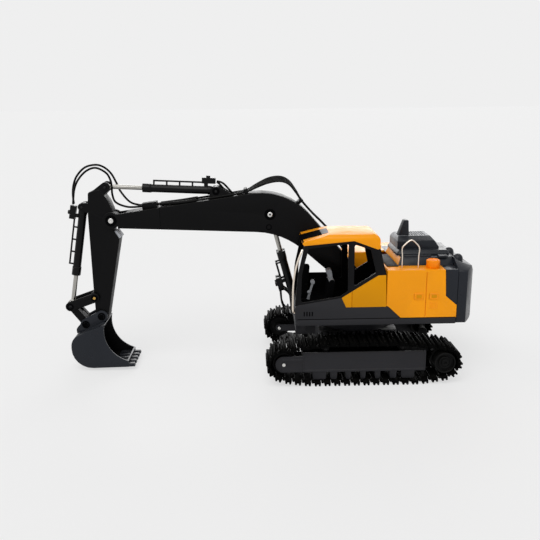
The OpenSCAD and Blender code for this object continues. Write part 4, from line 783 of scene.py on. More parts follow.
@dataclass
class SubAssembly:
    """Pieces that are made and dressed together."""

    pieces: list[bpy.types.Object] = field(default_factory=list, init=False)

    def keep(self, obj: bpy.types.Object, finish: Finish, body: str, stands_for: Sequence[str] = ()) -> None:
        """Dress a piece, set it on its body and note it.

        Args:
            obj: The piece.
            finish: Its finish.
            body: Body that it rides on.
            stands_for: Solids that it shows in place of.
        """
        obj.data.materials.append(finish.material())
        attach(obj, body)
        if stands_for:
            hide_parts(*stands_for)
        self.pieces.append(obj)

    def skin(self, node: str, finish: Finish, edge: float, segments: int = 2) -> bpy.types.Object:
        """Show a solid as a softened copy with a finish.

        Args:
            node: Name of the solid.
            finish: Its finish.
            edge: Width of the rounded edges.
            segments: Faces across a rounded edge.

        Returns:
            The softened copy.
        """
        obj = softened(node, edge, segments)
        self.keep(obj, finish, BODY_OF[node], (node,))
        return obj

    def plain(self, node: str, finish: Finish) -> None:
        """Give a solid that stays as it is a finish.

        Args:
            node: Name of the solid.
            finish: Its finish.
        """
        data = frame["nodes"][node].data
        data.materials.clear()
        data.materials.append(finish.material())
        self.pieces.append(frame["nodes"][node])

    def recolour(self, obj: bpy.types.Object, finish: Finish, chosen: Callable[[Array, Array], Array]) -> None:
        """Give some faces of a piece a finish of their own.

        Args:
            obj: The piece.
            finish: Finish of the chosen faces.
            chosen: Test of the faces' middles, in millimetres, and normals, one face a row.
        """
        count = len(obj.data.polygons)
        middle, normal = np.empty(count * 3), np.empty(count * 3)
        obj.data.polygons.foreach_get("center", middle)
        obj.data.polygons.foreach_get("normal", normal)
        index = np.empty(count, np.int32)
        obj.data.polygons.foreach_get("material_index", index)
        obj.data.materials.append(finish.material())
        index[chosen(middle.reshape(-1, 3) / MM, normal.reshape(-1, 3))] = len(obj.data.materials) - 1
        obj.data.polygons.foreach_set("material_index", index)

    @staticmethod
    def points(obj: bpy.types.Object) -> Array:
        """Corners of a piece's mesh.

        Args:
            obj: The piece.

        Returns:
            One corner a row, in millimetres.
        """
        flat = np.empty(len(obj.data.vertices) * 3)
        obj.data.vertices.foreach_get("co", flat)
        return flat.reshape(-1, 3) / MM

    @staticmethod
    def set_points(obj: bpy.types.Object, points: Array) -> None:
        """Move the corners of a piece's mesh to the given places."""
        obj.data.vertices.foreach_set("co", (points * MM).ravel())
        obj.data.update()

    def fitting(self, name: str, grids: Sequence[Array], finish: Finish, body: str) -> None:
        """Add a small piece made of grids.

        Args:
            name: Name of the piece.
            grids: Its surfaces.
            finish: Its finish.
            body: Body that it rides on.
        """
        self.keep(surface_piece(name, grids), finish, body)

    def build(self) -> None:
        """Make every piece."""
        raise NotImplementedError


@dataclass
class Undercarriage(SubAssembly):
    """Tracks, wheels, track frames and the chassis between them."""

    axle_cap: Head = Head(2.2, 1.0, 0.88, 28)
    axle_ends: Sequence[Point] = ((97.744, 83.4, 27.0), (97.744, -51.3, 27.0))
    # Plate of painted shade, standing between each track frame's end and its sprocket.
    shade_plate: Plate = Plate((16.0, 22.0), 2.0, ((0.3, -1.0), (0.0, -0.7), (0.0, 0.7), (0.3, 1.0)))
    shade_plate_at: Point = (-89.0, 54.0, 20.0)
    upward: float = 0.7  # part of a normal from which a face counts as a top; the track frames' tops get painted shade

    def build(self) -> None:
        """Make every piece of the undercarriage."""
        self.skin("chassis_frame", Finish.FRAME_GREY, 0.6)
        frames = self.skin("track_frames", Finish.FRAME_GREY, 0.5)
        # The tops of the track frames get the dead black: painted shade under the tracks' upper runs.
        self.recolour(frames, Finish.DARK_PIT, lambda middle, normal: normal[:, 2] > self.upward)
        self.skin("track_covers", Finish.FRAME_GREY, 0.28)
        self.skin("final_drives", Finish.WHEEL_BLACK, 0.5)
        self.skin("wheel_axles", Finish.BLACKENED, 0.3)
        self.plain("slew_gear", Finish.STEEL)
        self.plain("track_pins", Finish.TRACK_BLACK)
        for side in "lr":
            self.skin("track_links_" + side, Finish.TRACK_BLACK, 0.3, 1)
            self.skin("sprocket_" + side, Finish.WHEEL_BLACK, 0.35)
            self.skin("idler_" + side, Finish.WHEEL_BLACK, 0.4)
            for end in "fr":
                self.skin("carrier_roller_" + end + side, Finish.WHEEL_BLACK, 0.3)
        self.axle_caps()
        # Dark plates of painted shade in the gaps by the sprockets.
        self.drive_guards()

    def axle_caps(self) -> None:
        """Bright domed caps on both ends of each idler axle."""
        self.fitting("axle_caps", mirrored(self.axle_cap, self.axle_ends), Finish.STEEL, "undercarriage")

    def drive_guards(self) -> None:
        """Dark plate on the inner side of each track, between the frame's end and the sprocket: painted shade over
        the gap where the floor would show through.
        """
        self.fitting("drive_guards", mirrored(self.shade_plate, [self.shade_plate_at]), Finish.DARK_PIT, "undercarriage")


@dataclass
class House(SubAssembly):
    """Deck, side bodies, covers, hood, counterweight and what they hold."""

    body_y: float = 80.0
    body_z: float = 142.0
    vent: Plate = Plate((1.0, 8.5), 0.45, ((0.0, -0.3), (0.0, 0.25), (0.25, 0.45)))
    vent_x: Sequence[float] = (-85.9, -83.7, -81.5, -79.3, -77.1)
    vent_z: float = 98.5
    latch_frame: Plate = Plate((11.4, 7.8), 1.4, ((0.0, -0.4), (0.0, 0.5), (0.25, 0.7), (0.9, 0.7), (1.1, 0.2)))
    latch_plate: Plate = Plate((6.27, 3.9), 0.6, ((0.0, -0.4), (0.0, 0.5), (0.2, 0.7)))
    latch_x: Pair = (-63.6, -81.8)
    latch_z: float = 109.6
    seam: Plate = Plate((190.0, 0.8), 0.3, ((0.0, -0.4), (0.0, 0.1)))
    seam_x: float = -14.0
    seam_z: float = 83.1
    wire_step: float = 1.2
    rail_r: float = 0.8
    rail_route: Sequence[Point] = (
        (-44, 70, 142.1), (-44, 70, 156), (-43.5, 70, 166), (-47, 70, 171), (-54, 70, 176), (-60, 70, 172),
        (-64, 70, 166), (-63.5, 70, 156), (-63.5, 70, 142.1),
    )
    grab_r: float = 1.15
    grab_route: Sequence[Point] = (
        (75.6, 79, 168), (77.4, 81, 164), (80.7, 82, 155.7), (83.6, 82, 145), (85.4, 82, 134.1), (86.4, 82, 122),
        (86.7, 82, 109.7), (86.7, 81.6, 97), (85.5, 78.8, 91.6), (84.1, 78.8, 91.6),
    )
    screw: Head = Head(1.9, 0.9, 0.855, 24)
    screws_at: Sequence[Point] = ((-52, 44, 150.9), (-52, -44, 142.8), (-104, 44, 150.9), (-104, -44, 142.8))
    cut_y: float = -18.6
    cut_gap: float = 0.5  # width of the step down from the raised cover to the lid
    lid_share: float = 0.1
    hood_front: float = 0.7  # part of a normal from which a face counts as the hood's front, which gets the painted highlight
    hood_level: float = 0.9  # and as level
    hood_top: float = 170.0
    foot: Plate = Plate((66.0, 60.0), 4.0, ((0.0, -0.4), (0.0, 1.5), (2.5, 5.0), (3.5, 5.6)))
    foot_at: Point = (-77.0, 11.0, 151.0)
    rib_corner: float = 1.5
    rib_profile: Profile = ((0.0, -0.4), (0.2, 1.0), (0.9, 1.8))
    ribs: Sequence[tuple[Pair, Point]] = (((34.0, 4.0), (-68.0, 47.0, 151.0)), ((12.0, 9.0), (-98.0, 49.0, 151.0)))
    tail_x: float = -110.0
    tail_half: float = 78.0
    tail_z: float = 120.0
    drop: float = 8.0
    drop_ramps: Point = (14.0, 28.0, 22.0)  # lengths backwards, inwards and upwards
    draw: float = 4.5
    draw_x: float = -112.0
    draw_ramp: float = 36.0
    knob_r: float = 6.3
    knob_foot: float = -8.0
    knob_turn: float = 0.49 * math.pi
    knob_rings: int = 9
    knobs_at: Sequence[Point] = ((-117.5, 47, 147.5), (-117.5, 10, 147.5))

    def build(self) -> None:
        """Make every piece of the house."""
        self.skin("house_deck", Finish.FRAME_GREY, 0.6)
        self.skin("boom_mount", Finish.ARM_BLACK, 0.6)
        self.skin("house_pins", Finish.BLACKENED, 0.3)
        self.skin("left_body", Finish.AMBER, 0.36, 3)
        self.skin("right_body", Finish.AMBER, 0.4, 3)
        self.skin("rear_corner_panels", Finish.SLATE, 0.4)
        cover = self.skin("top_cover", Finish.SLATE, 0.4)
        self.lower_far_side(cover)
        self.recolour(cover, Finish.AMBER, lambda middle, normal: normal[:, 0] > FACES)
        hood = self.skin("engine_hood", Finish.SLATE, 0.1)
        # The hood's front and slat tops get pale grey: painted highlight and painted reflection.
        self.recolour(hood, Finish.LOUVRE_GREY, self.painted_highlight_on_hood)
        self.skin("hood_intake", Finish.SLATE, 0.5)
        self.draw_in(self.skin("counterweight", Finish.SLATE, 0.4, 3))
        self.skin("fuel_cap", Finish.ORANGE, 0.4)
        self.skin("step_pad", Finish.FRAME_GREY, 0.2)
        for node, finish in (
            ("ballast", Finish.IRON), ("battery_pack", Finish.BATTERY_BLUE), ("receiver_board", Finish.BOARD_GREEN),
            ("slew_motor", Finish.STEEL), ("slew_pinion", Finish.STEEL),
        ):
            self.plain(node, finish)
        self.wires()
        self.knobs()
        screws = [self.screw.grid(at, Facing.UP) for at in self.screws_at]
        self.fitting("cover_screws", screws, Finish.BLACKENED, "house")
        self.on_sides("side_vents", self.vent, self.vent_x, self.vent_z, Finish.AMBER)
        self.on_sides("latches", self.latch_frame, self.latch_x, self.latch_z, Finish.AMBER)
        self.on_sides("latch_plates", self.latch_plate, self.latch_x, self.latch_z, Finish.MUSTARD)
        self.hood_foot()
        self.on_sides("sill_seam", self.seam, [self.seam_x], self.seam_z, Finish.DARK_PIT)

    def on_sides(self, name: str, plate: Plate, places: Sequence[float], height: float, finish: Finish) -> None:
        """Set a row of plates on the left and on the right side of the house, one piece a side.

        Args:
            name: Name of the pieces, to which each side's name is added.
            plate: The plate.
            places: X of each plate.
            height: Z of the row.
            finish: Finish of the plates.
        """
        for facing, side in SIDES:
            grids = [plate.grid((x, side * self.body_y, height), facing) for x in places]
            self.fitting(name + "_" + facing.name.lower(), grids, finish, "house")

    def hood_foot(self) -> None:
        """Sloped foot round the hood and two low ribs beside it on the raised cover."""
        ribs = [Plate(size, self.rib_corner, self.rib_profile).grid(at, Facing.UP) for size, at in self.ribs]
        self.fitting("hood_foot", [self.foot.grid(self.foot_at, Facing.UP), *ribs], Finish.SLATE, "house")

    def lower_far_side(self, cover: bpy.types.Object) -> None:
        """Cut the raised cover along its length and lower the part beyond the hood to a flat lid.

        Args:
            cover: The cover's piece. Past the cut, heights above the body's top shrink to a share of themselves.
        """
        work = bmesh.new()
        work.from_mesh(cover.data)
        for y in (self.cut_y, self.cut_y - self.cut_gap):
            parts = [*work.verts, *work.edges, *work.faces]
            bmesh.ops.bisect_plane(work, geom=parts, plane_co=(0, y * MM, 0), plane_no=(0, 1, 0))
        work.to_mesh(cover.data)
        work.free()
        points = self.points(cover)
        far = points[:, 1] < self.cut_y - self.cut_gap / 2
        points[far, 2] = self.body_z + self.lid_share * (points[far, 2] - self.body_z)
        self.set_points(cover, points)

    def draw_in(self, tail: bpy.types.Object) -> None:
        """Draw the tail in towards its end and lower the middle of its top.

        Args:
            tail: The counterweight's piece. A point moves forward by a share of its distance behind the body, and
                down by the product of three ramps: backwards, upwards and towards the middle.
        """
        points = self.points(tail)
        x, y, z = points.T
        backwards, inwards, upwards = self.drop_ramps
        down = self.drop * np.clip((z - self.tail_z) / upwards, 0, 1)
        down *= eased((self.tail_x - x) / backwards) * eased((self.tail_half - np.abs(y)) / inwards)
        forward = self.draw * np.clip((self.draw_x - x) / self.draw_ramp, 0, 1)
        self.set_points(tail, np.stack([x + forward, y, z - down], axis=1))

    def painted_highlight_on_hood(self, middle: Array, normal: Array) -> Array:
        """Which faces of the hood get pale grey: its front, as a painted highlight, and the level tops of its grille
        slats, as a painted reflection.
        """
        slats = (normal[:, 2] > self.hood_level) & (middle[:, 2] > self.hood_top)
        return slats | (normal[:, 0] > self.hood_front)

    def knobs(self) -> None:
        """Two round domes on the counterweight."""
        turn = np.linspace(0.0, self.knob_turn, self.knob_rings)
        dome = self.knob_r * np.stack([np.cos(turn), np.sin(turn)], axis=1)
        profile = [(self.knob_r, self.knob_foot), *dome.tolist()]
        grids = [lathed(profile, at, Facing.UP) for at in self.knobs_at]
        self.keep(surface_piece("dome_knobs", grids), Finish.SLATE, "house", ("lid_knobs",))

    def wires(self) -> None:
        """Bent-wire hand rail behind the cab and grab rail at its front corner."""
        wires = ((self.rail_route, self.rail_r), (self.grab_route, self.grab_r))
        grids = [swept(smooth_route(route, self.wire_step), radius) for route, radius in wires]
        self.keep(surface_piece("bent_wires", grids), Finish.WIRE, "house", ("grab_rails",))


@dataclass
class Cab(SubAssembly):
    """Cab tub, window frame, roof, side panels and what the driver uses."""

    hatch_x: Pair = (42.9, 82.0)
    hatch_y: Pair = (38.7, 60.9)
    hatch_up: float = 0.3  # part of a normal from which a face counts as the recess's floor
    headrest_z: float = 125.0
    wall_y: float = 79.0
    far_wall_y: float = 30.0
    vent: Plate = Plate((1.4, 5.5), 0.4, ((0.0, -0.3), (0.0, 0.15), (0.2, 0.35)))
    vents_at: Sequence[Point] = ((73.0, 80.0, 90.0), (69.8, 80.0, 90.0), (66.6, 80.0, 90.0), (63.4, 80.0, 90.0))
    lever_y: float = 66.2
    lever_half: float = 3.0
    lever_z: float = 106.0
    roof_y: float = 50.0
    slope: float = 0.2563
    slope_x: float = 46.0
    slope_z: float = 184.67
    panel_corner: float = 2.5
    panel_profile: Profile = ((0.0, -0.6), (0.0, 0.15), (0.25, 0.3))
    panels: Sequence[tuple[str, Pair, float, Finish]] = (
        ("skylight_dark", (51.0, 76.0), 33.0, Finish.DARK_PIT),
        ("skylight_pale", (43.0, 52.0), 29.0, Finish.SEAT_GREY),
    )
    trim: Plate = Plate((52.0, 7.0), 1.2, ((0.3, -1.2), (0.0, -0.9), (0.0, 0.9), (0.3, 1.2)))
    trim_at: Point = (51.0, 21.6, 122.6)

    def build(self) -> None:
        """Make every piece of the cab."""
        tub = self.skin("cab_tub", Finish.FRAME_GREY, 0.5)
        # Faces inside the tub get the dead black: painted shade within the cab.
        self.recolour(tub, Finish.DARK_PIT, self.within)
        cage = self.skin("cab_frame", Finish.CAB_BLACK, 0.25)
        # The far wall's inner side gets the dead black: painted shade inside the cab.
        self.recolour(cage, Finish.DARK_PIT, self.shaded_far_wall)
        roof = self.skin("cab_roof", Finish.AMBER, 0.32, 3)
        self.recolour(roof, Finish.DARK_PIT, self.in_hatch)
        self.skin("cab_side_panels", Finish.MUSTARD, 0.3)
        seat = self.skin("cab_seat", Finish.DARK_PIT, 0.2)
        self.recolour(seat, Finish.SEAT_GREY, lambda middle, normal: middle[:, 2] > self.headrest_z)
        controls = self.skin("cab_controls", Finish.DARK_PIT, 0.3)
        self.recolour(controls, Finish.SEAT_GREY, self.near_lever)
        vents = [self.vent.grid(at, Facing.LEFT) for at in self.vents_at]
        self.fitting("cab_vents", vents, Finish.DARK_PIT, "house")
        self.skylight()
        self.fitting("far_trim", [self.trim.grid(self.trim_at, Facing.LEFT)], Finish.DARK_PIT, "house")

    def shaded_far_wall(self, middle: Array, normal: Array) -> Array:
        """Which faces of the window frame show the far wall's inner side; they get the dead black as painted shade.
        """
        return (middle[:, 1] < self.far_wall_y) & (normal[:, 1] > FACES)

    def near_lever(self, middle: Array, normal: Array) -> Array:
        """Which faces of the controls are the near lever, above its console."""
        return (np.abs(middle[:, 1] - self.lever_y) < self.lever_half) & (middle[:, 2] > self.lever_z)

    def skylight(self) -> None:
        """Dark panel on the roof's front slope with a pale one behind it, both tilted to the slope's line."""
        for name, (x0, x1), width, finish in self.panels:
            panel = Plate((x1 - x0, width), self.panel_corner, self.panel_profile)
            grid = panel.grid(((x0 + x1) / 2, self.roof_y, self.slope_z), Facing.UP)
            grid[..., 2] -= self.slope * (grid[..., 0] - self.slope_x)
            self.fitting(name, [grid], finish, "house")

    def within(self, middle: Array, normal: Array) -> Array:
        """Which faces of the tub lie inside it; they get the dead black as painted shade."""
        return (middle[:, 1] < self.wall_y) & (normal[:, 0] < FACES)

    def in_hatch(self, middle: Array, normal: Array) -> Array:
        """Which faces of the roof are the floor of its hatch recess.

        Args:
            middle: Middles of the faces, in millimetres.
            normal: Their normals.

        Returns:
            True for each face in the recess.
        """
        x, y, _ = middle.T
        inside = (x > self.hatch_x[0]) & (x < self.hatch_x[1]) & (y > self.hatch_y[0]) & (y < self.hatch_y[1])
        return inside & (normal[:, 2] > self.hatch_up)


@dataclass
class Boom(SubAssembly):
    """Boom, its pins, its rams and the hoses along it."""

    pin_cap: Head = Head(3.3, 1.4, 1.3)
    pin_ring: Ring = Ring(3.8, 6.9, 0.6)
    pin_ends: Sequence[Point] = ((308.8, 14.6, 194.4), (111.1, 14.0, 199.6))
    blind_ring: Ring = Ring(2.6, 3.7, 0.4)
    blind_at: Point = (112.6, 14.0, 183.6)
    base_ring: Ring = Ring(2.2, 4.6, 0.5)
    base_at: Point = (177.9, 8.9, 228.7)
    hose_r: float = 1.3
    hose_step: float = 2.0
    hose_route: Sequence[Point] = (
        (262, 3, 211.5), (248, 3.4, 213), (222, 9, 215.4), (202, 10.6, 218.2), (170, 10.6, 222.8), (152, 10.6, 225.4),
        (139, 8, 228), (127, 5, 232.8), (112.5, 4, 238), (98, 4, 239.8), (87, 4, 236), (78, 4, 225.5), (71, 4, 215),
        (58, 4, 200), (44, 4, 186), (30, 4, 170), (14, 4, 147),
    )
    crest: Point = (70.0, 140.0, 5.0)  # X of its start and end, and how much higher the far hose stands
    crest_part: tuple[int, int | None] = (5, None)
    strands: Sequence[float] = (0.25, 0.5, 0.75)
    sleeve_r: float = 2.3
    sleeve_part: tuple[int, int | None] = (1, 4)
    whole: tuple[int, int | None] = (0, None)
    valve_hose_r: float = 1.3
    valve_step: float = 1.5
    valve_sides: int = 10
    stick_valves: Sequence[Sequence[Point]] = (
        ((176.8, 3, 240.6), (168.7, 3, 237.8), (157.6, 3, 225.5)),
        ((176.8, 3, 240), (172.8, 3, 236.5), (167.6, 3, 230.3)),
    )
    boom_valves: Sequence[Sequence[Point]] = (
        ((98, 6.2, 102), (97.5, 6.2, 93), (96.5, 6.2, 83.4), (93, 6.2, 73)),
        ((94, 6.2, 101), (88, 6.2, 96), (85.5, 6.2, 90), (83.5, 6.2, 73)),
    )

    def build(self) -> None:
        """Make every piece of the boom."""
        self.skin("boom_shell", Finish.ARM_BLACK, 0.6, 3)
        self.skin("boom_fork", Finish.ARM_BLACK, 0.5, 3)
        self.skin("boom_pins", Finish.BLACKENED, 0.3)
        self.skin("hose_clamps", Finish.ARM_BLACK, 0.2)
        self.skin("boom_barrels", Finish.BARREL_BLACK, 0.2)
        self.skin("boom_rods", Finish.CHROME, 0.3)
        self.skin("stick_barrel", Finish.BARREL_BLACK, 0.2)
        self.skin("stick_rod", Finish.CHROME, 0.1)
        self.hoses()
        self.valve_hoses()
        self.pin_caps()

    def route_between(self, share: float) -> list[Point]:
        """Route of a hose from the near side, at share 0, to the far side, which stands higher over the crest.

        Args:
            share: How far the hose lies towards the far side.

        Returns:
            The near route with Y scaled by 1 - 2 share, raised by share times a half wave over the crest.
        """
        start, end, lift = self.crest
        points = np.asarray(self.hose_route)
        wave = np.sin(np.pi * np.clip((points[:, 0] - start) / (end - start), 0.0, 1.0))
        return (points * (1, 1 - 2 * share, 1) + np.outer(share * lift * wave, (0, 0, 1))).tolist()

    def tubes(self, shares: Sequence[float], part: tuple[int, int | None], radius: float) -> list[Array]:
        """Tubes along a part of the boom's hose routes.

        Args:
            shares: How far each tube lies towards the far side.
            part: First point of the route that is used, and the one to stop before, if any.
            radius: Radius of the tubes.

        Returns:
            One grid a tube.
        """
        routes = [self.route_between(share)[slice(*part)] for share in shares]
        return [swept(smooth_route(route, self.hose_step), radius) for route in routes]

    def hoses(self) -> None:
        """The hoses along the boom: one each side all the way, and more between them over the crest."""
        pair = surface_piece("boom_hose_pair", self.tubes((0.0, 1.0), self.whole, self.hose_r))
        self.keep(pair, Finish.RUBBER, "boom", ("boom_hoses",))
        sleeves = self.tubes((0.0, 1.0), self.sleeve_part, self.sleeve_r)
        self.fitting("hose_sleeves", sleeves, Finish.RUBBER, "boom")
        bundle = self.tubes(self.strands, self.crest_part, self.hose_r)
        self.fitting("crest_hoses", bundle, Finish.RUBBER, "boom")

    def valve_hoses(self) -> None:
        """Short hoses from the valves of the stick ram and the boom rams."""
        both = [np.asarray(route) * (1, side, 1) for route in self.boom_valves for _, side in SIDES]
        for body, routes in (("stick_barrel", self.stick_valves), ("boom_barrels", both)):
            paths = [smooth_route(route, self.valve_step) for route in routes]
            grids = [swept(path, self.valve_hose_r, self.valve_sides) for path in paths]
            self.fitting(body.split("_")[0] + "_valve_hoses", grids, Finish.RUBBER, body)

    def pin_caps(self) -> None:
        """Bright caps in raised rings at both ends of the boom's pins, and the rings that have no cap."""
        self.fitting("boom_pin_caps", mirrored(self.pin_cap, self.pin_ends), Finish.STEEL, "boom")
        rings = mirrored(self.pin_ring, self.pin_ends)
        rings += mirrored(self.blind_ring, [self.blind_at]) + mirrored(self.base_ring, [self.base_at])
        self.fitting("boom_rings", rings, Finish.DARK_PIT, "boom")


@dataclass
class Stick(SubAssembly):
    """Stick, bucket, their linkage and the hoses over the stick head."""

    hose_r: float = 1.3
    hose_step: float = 2.0
    near_route: Sequence[Point] = (
        (269.4, 3, 210.4), (288, 4.2, 210), (302.5, 6, 216), (306.3, 6.4, 225.5), (306.6, 6.4, 236),
        (307.6, 6.4, 244), (312.5, 6.2, 253), (325, 5, 259), (337.5, 3, 255), (348, 3, 244.5), (354, 2.5, 232),
        (357, 2.2, 214),
    )
    far_route: Sequence[Point] = (
        (269.4, -3, 210.4), (286, -3.8, 214.5), (298, -6.2, 227.5), (303, -6.4, 239), (309, -6.2, 251),
        (317.5, -5.5, 259), (327, -3.5, 262), (340, -3, 259), (350.5, -3, 249), (355.5, -2.5, 238),
        (357.4, -2.2, 226), (357, -2.2, 214),
    )
    bend_from: Point = (290.0, 0.0, 212.0)
    bend_to: Point = (318.0, 0.0, 256.0)
    screw: Head = Head(1.8, 0.7, 0.8, 24)
    screw_at: Point = (336.8, 14.0, 94.4)
    rocker_ring: Ring = Ring(2.5, 4.4, 0.5)
    rocker_ends: Sequence[Point] = ((336.8, 13.3, 94.4), (368.48, 13.3, 83.21))
    ear_ring: Ring = Ring(3.2, 5.0, 0.7)
    ear_ring_at: Sequence[Point] = ((329.3, 13.9, 69.9), (350.21, 13.9, 59.4))
    ear_cap: Head = Head(2.8, 0.5, 1.4)
    ear_cap_at: Sequence[Point] = ((329.3, 14.5, 69.9), (350.21, 14.5, 59.4))
    tooth: Plate = Plate(
        (27.0, 4.0), 4.0 / 2.2, ((0.9, -3.4), (0.25, -3.1), (0.0, -2.5), (0.0, 2.5), (0.25, 3.1), (0.9, 3.4)),
    )
    tooth_at: Pair = (302.0, 7.0)
    tooth_y: Sequence[float] = (-22.5, -11.25, 0.0, 11.25, 22.5)
    hollow: Point = (335.0, 0.0, 36.0)
    hollow_x: float = 304.0
    hollow_y: float = 24.3
    ear_y: Pair = (9.0, 15.0)

    def build(self) -> None:
        """Make every piece of the stick and the bucket."""
        self.skin("stick", Finish.ARM_BLACK, 0.42, 3)
        self.skin("stick_pins", Finish.BLACKENED, 0.3)
        self.skin("stick_bumper", Finish.BUMPER_GREY, 0.5)
        bucket = self.skin("bucket", Finish.SLATE, 0.25)
        # The bucket's hollow gets a darker black: painted shade inside it.
        self.recolour(bucket, Finish.ARM_BLACK, self.painted_shade_in_bucket)
        self.skin("bucket_rockers", Finish.ARM_BLACK, 0.5)
        self.plain("bucket_link", Finish.ARM_BLACK)
        self.skin("bucket_barrel", Finish.BARREL_BLACK, 0.2)
        self.skin("bucket_rod", Finish.CHROME, 0.3)
        self.hoses()
        self.teeth()
        self.pin_ends()

    def painted_shade_in_bucket(self, middle: Array, normal: Array) -> Array:
        """Which faces of the bucket line its hollow, behind the lip and away from the ears; they get a darker black
        as painted shade.

        Args:
            middle: Middles of the faces, in millimetres.
            normal: Their normals.

        Returns:
            True for each face in the hollow.
        """
        towards = np.einsum("ij,ij->i", normal, np.asarray(self.hollow) - middle)
        across = np.abs(middle[:, 1])
        ears = (across > self.ear_y[0]) & (across < self.ear_y[1])
        return (towards > 0) & (across < self.hollow_y) & (middle[:, 0] > self.hollow_x) & ~ears

    def teeth(self) -> None:
        """Long round-edged teeth along the bucket's lip."""
        x, z = self.tooth_at
        grids = [self.tooth.grid((x, y, z), Facing.LEFT) for y in self.tooth_y]
        self.fitting("bucket_teeth", grids, Finish.SLATE, "bucket")

    def pin_ends(self) -> None:
        """Brass screws at the rockers' pivots, and dark rings and caps on the pins of the linkage."""
        self.fitting("rocker_screws", mirrored(self.screw, [self.screw_at]), Finish.BRASS, "stick")
        self.fitting("rocker_rings", mirrored(self.rocker_ring, self.rocker_ends), Finish.DARK_PIT, "bucket_rockers")
        ears = mirrored(self.ear_ring, self.ear_ring_at) + mirrored(self.ear_cap, self.ear_cap_at)
        self.fitting("ear_rings", ears, Finish.DARK_PIT, "bucket")

    def hoses(self) -> None:
        """The two hoses that loop over the stick head."""
        routes = (self.near_route, self.far_route)
        grids = [swept(smooth_route(route, self.hose_step), self.hose_r) for route in routes]
        obj = surface_piece("stick_hose_pair", grids)
        obj.data.materials.append(Finish.RUBBER.material())
        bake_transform(obj)
        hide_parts("stick_hoses")
        self.pieces.append(obj)


# Stage, light and camera

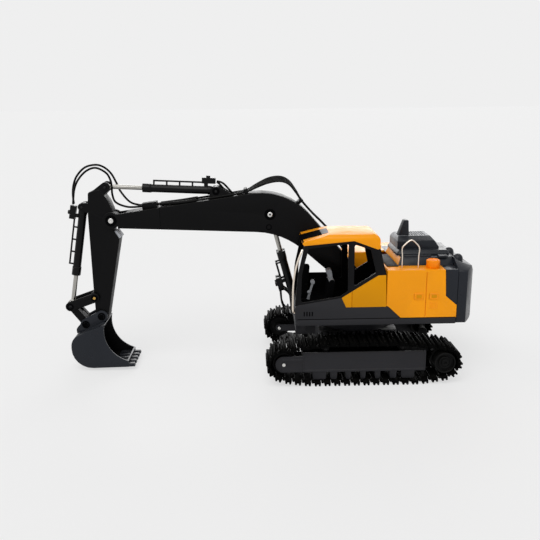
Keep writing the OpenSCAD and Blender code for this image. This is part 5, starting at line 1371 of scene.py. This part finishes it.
@dataclass
class Stage:
    """Pale floor, soft light and the photograph's viewpoint."""

    paper: Colour = (239, 239, 239)
    paper_scale: float = 9.0
    paper_tone: Pair = (0.995, 1.005)
    floor_share: float = 0.7
    floor_half: float = 60.0
    floor_roughness: float = 0.9
    floor_specular: float = 0.05
    sky: float = 0.36
    lamps: tuple[tuple[str, float, float, float, float], ...] = (
        ("top_light", 55.0, 20.0, 1.7, 50.0),
        ("side_light", 28.0, 105.0, 0.45, 40.0),
        ("back_light", 20.0, 185.0, 1.2, 45.0),
    )
    eye: Point = (131.41, 816.5, 331.91)
    yaw: float = -0.02451
    pitch: float = 0.24852
    roll: float = -0.00964
    focal_px: float = 650.0
    frame_px: float = 540.0
    sensor_mm: float = 36.0

    def build(self) -> None:
        """Make the floor, the sky, the lamps and the camera, with plain colour management."""
        bpy.context.scene.view_settings.view_transform = "Standard"
        self.floor()
        self.world()
        for name, height, bearing, strength, width in self.lamps:
            self.lamp(name, height, bearing, strength, width)
        self.camera()

    def floor(self) -> None:
        """A wide matt floor that keeps shadows and fades into the paper's colour where it is seen."""
        corner = self.floor_half * np.array([(-1, -1), (1, -1), (1, 1), (-1, 1)])
        mesh = bpy.data.meshes.new("floor")
        mesh.from_pydata(np.c_[corner, np.zeros(4)].tolist(), [], [range(4)])
        sheet, shader, where = new_material("floor_paper")
        tone = sheet.spread(sheet.noise(where, self.paper_scale, 3.0), EffectShop.NOISE_SPAN, self.paper_tone)
        colour = sheet.add("HueSaturation", {"Color": linear(self.paper), "Value": tone}).outputs["Color"]
        sheet.feed(shader.inputs["Base Color"], colour)
        sheet.feed(shader.inputs["Roughness"], self.floor_roughness)
        sheet.feed(shader.inputs["Specular IOR Level"], self.floor_specular)
        paper = sheet.add("Emission", {"Color": linear(self.paper), "Strength": 1.0})
        share = sheet.math("MULTIPLY", sheet.seen(), self.floor_share)
        both = sheet.add("MixShader", {0: share, 1: shader.outputs[0], 2: paper.outputs[0]})
        out = next(n for n in sheet.tree.nodes if n.type == "OUTPUT_MATERIAL")
        sheet.feed(out.inputs["Surface"], both.outputs[0])
        obj = placed("floor", mesh)
        mesh.materials.append(bpy.data.materials["floor_paper"])

    def world(self) -> None:
        """Even sky light on the object, with the paper's colour wherever the sky itself is seen."""
        world = bpy.data.worlds.new("studio")
        world.use_nodes = True
        bpy.context.scene.world = world
        sheet = NodeSheet(world.node_tree)
        light = next(n for n in sheet.tree.nodes if n.type == "BACKGROUND")
        sheet.feed(light.inputs["Color"], (1.0, 1.0, 1.0, 1.0))
        sheet.feed(light.inputs["Strength"], self.sky)
        seen = sheet.add("Background", {"Color": linear(self.paper), "Strength": 1.0})
        both = sheet.add("MixShader", {0: sheet.seen(), 1: light.outputs[0], 2: seen.outputs[0]})
        out = next(n for n in sheet.tree.nodes if n.type == "OUTPUT_WORLD")
        sheet.feed(out.inputs["Surface"], both.outputs[0])

    def lamp(self, name: str, height: float, bearing: float, strength: float, width: float) -> None:
        """A wide, distant lamp.

        Args:
            name: Name of the lamp.
            height: Angle above the floor, in degrees.
            bearing: Angle round from the machine's left towards its front, in degrees.
            strength: Light on a face square to it.
            width: Angle that the lamp fills, in degrees.
        """
        data = bpy.data.lights.new(name, "SUN")
        data.energy = strength
        data.angle = math.radians(width)
        up, round_to = math.radians(height), math.radians(bearing)
        towards = Vector((math.cos(up) * math.sin(round_to), math.cos(up) * math.cos(round_to), math.sin(up)))
        obj = bpy.data.objects.new(name, data)
        obj.rotation_euler = towards.to_track_quat("Z", "Y").to_euler()
        obj.location = towards
        bpy.context.scene.collection.objects.link(obj)

    def camera(self) -> None:
        """The camera at the photograph's place, turned by its yaw, pitch and roll."""
        data = bpy.data.cameras.new("camera")
        data.sensor_width = self.sensor_mm
        data.lens = data.sensor_width * self.focal_px / self.frame_px
        data.clip_end = 4 * self.floor_half
        level = math.cos(self.pitch)
        forward = Vector((math.sin(self.yaw) * level, -math.cos(self.yaw) * level, -math.sin(self.pitch)))
        right = forward.cross(Vector((0, 0, 1))).normalized()
        up = right.cross(forward)
        c, s = math.cos(self.roll), math.sin(self.roll)
        axes = Matrix((right * c + up * s, up * c - right * s, -forward)).transposed()
        obj = bpy.data.objects.new("camera", data)
        obj.matrix_world = Matrix.Translation(Vector(self.eye) * MM) @ axes.to_4x4()
        bpy.context.scene.collection.objects.link(obj)
        bpy.context.scene.camera = obj


def main() -> None:
    """Set the stage, then build each sub-assembly in turn and report its pieces."""
    logging.basicConfig(level=logging.INFO, format="%(name)s: %(message)s")
    Stage().build()
    for assembly in (Boom(), Stick(), Cab(), House(), Undercarriage()):
        assembly.build()
        for piece in assembly.pieces:
            LOG.info("%s: %s with %d faces", type(assembly).__name__, piece.name, len(piece.data.polygons))


if __name__ == "__main__":
    main()
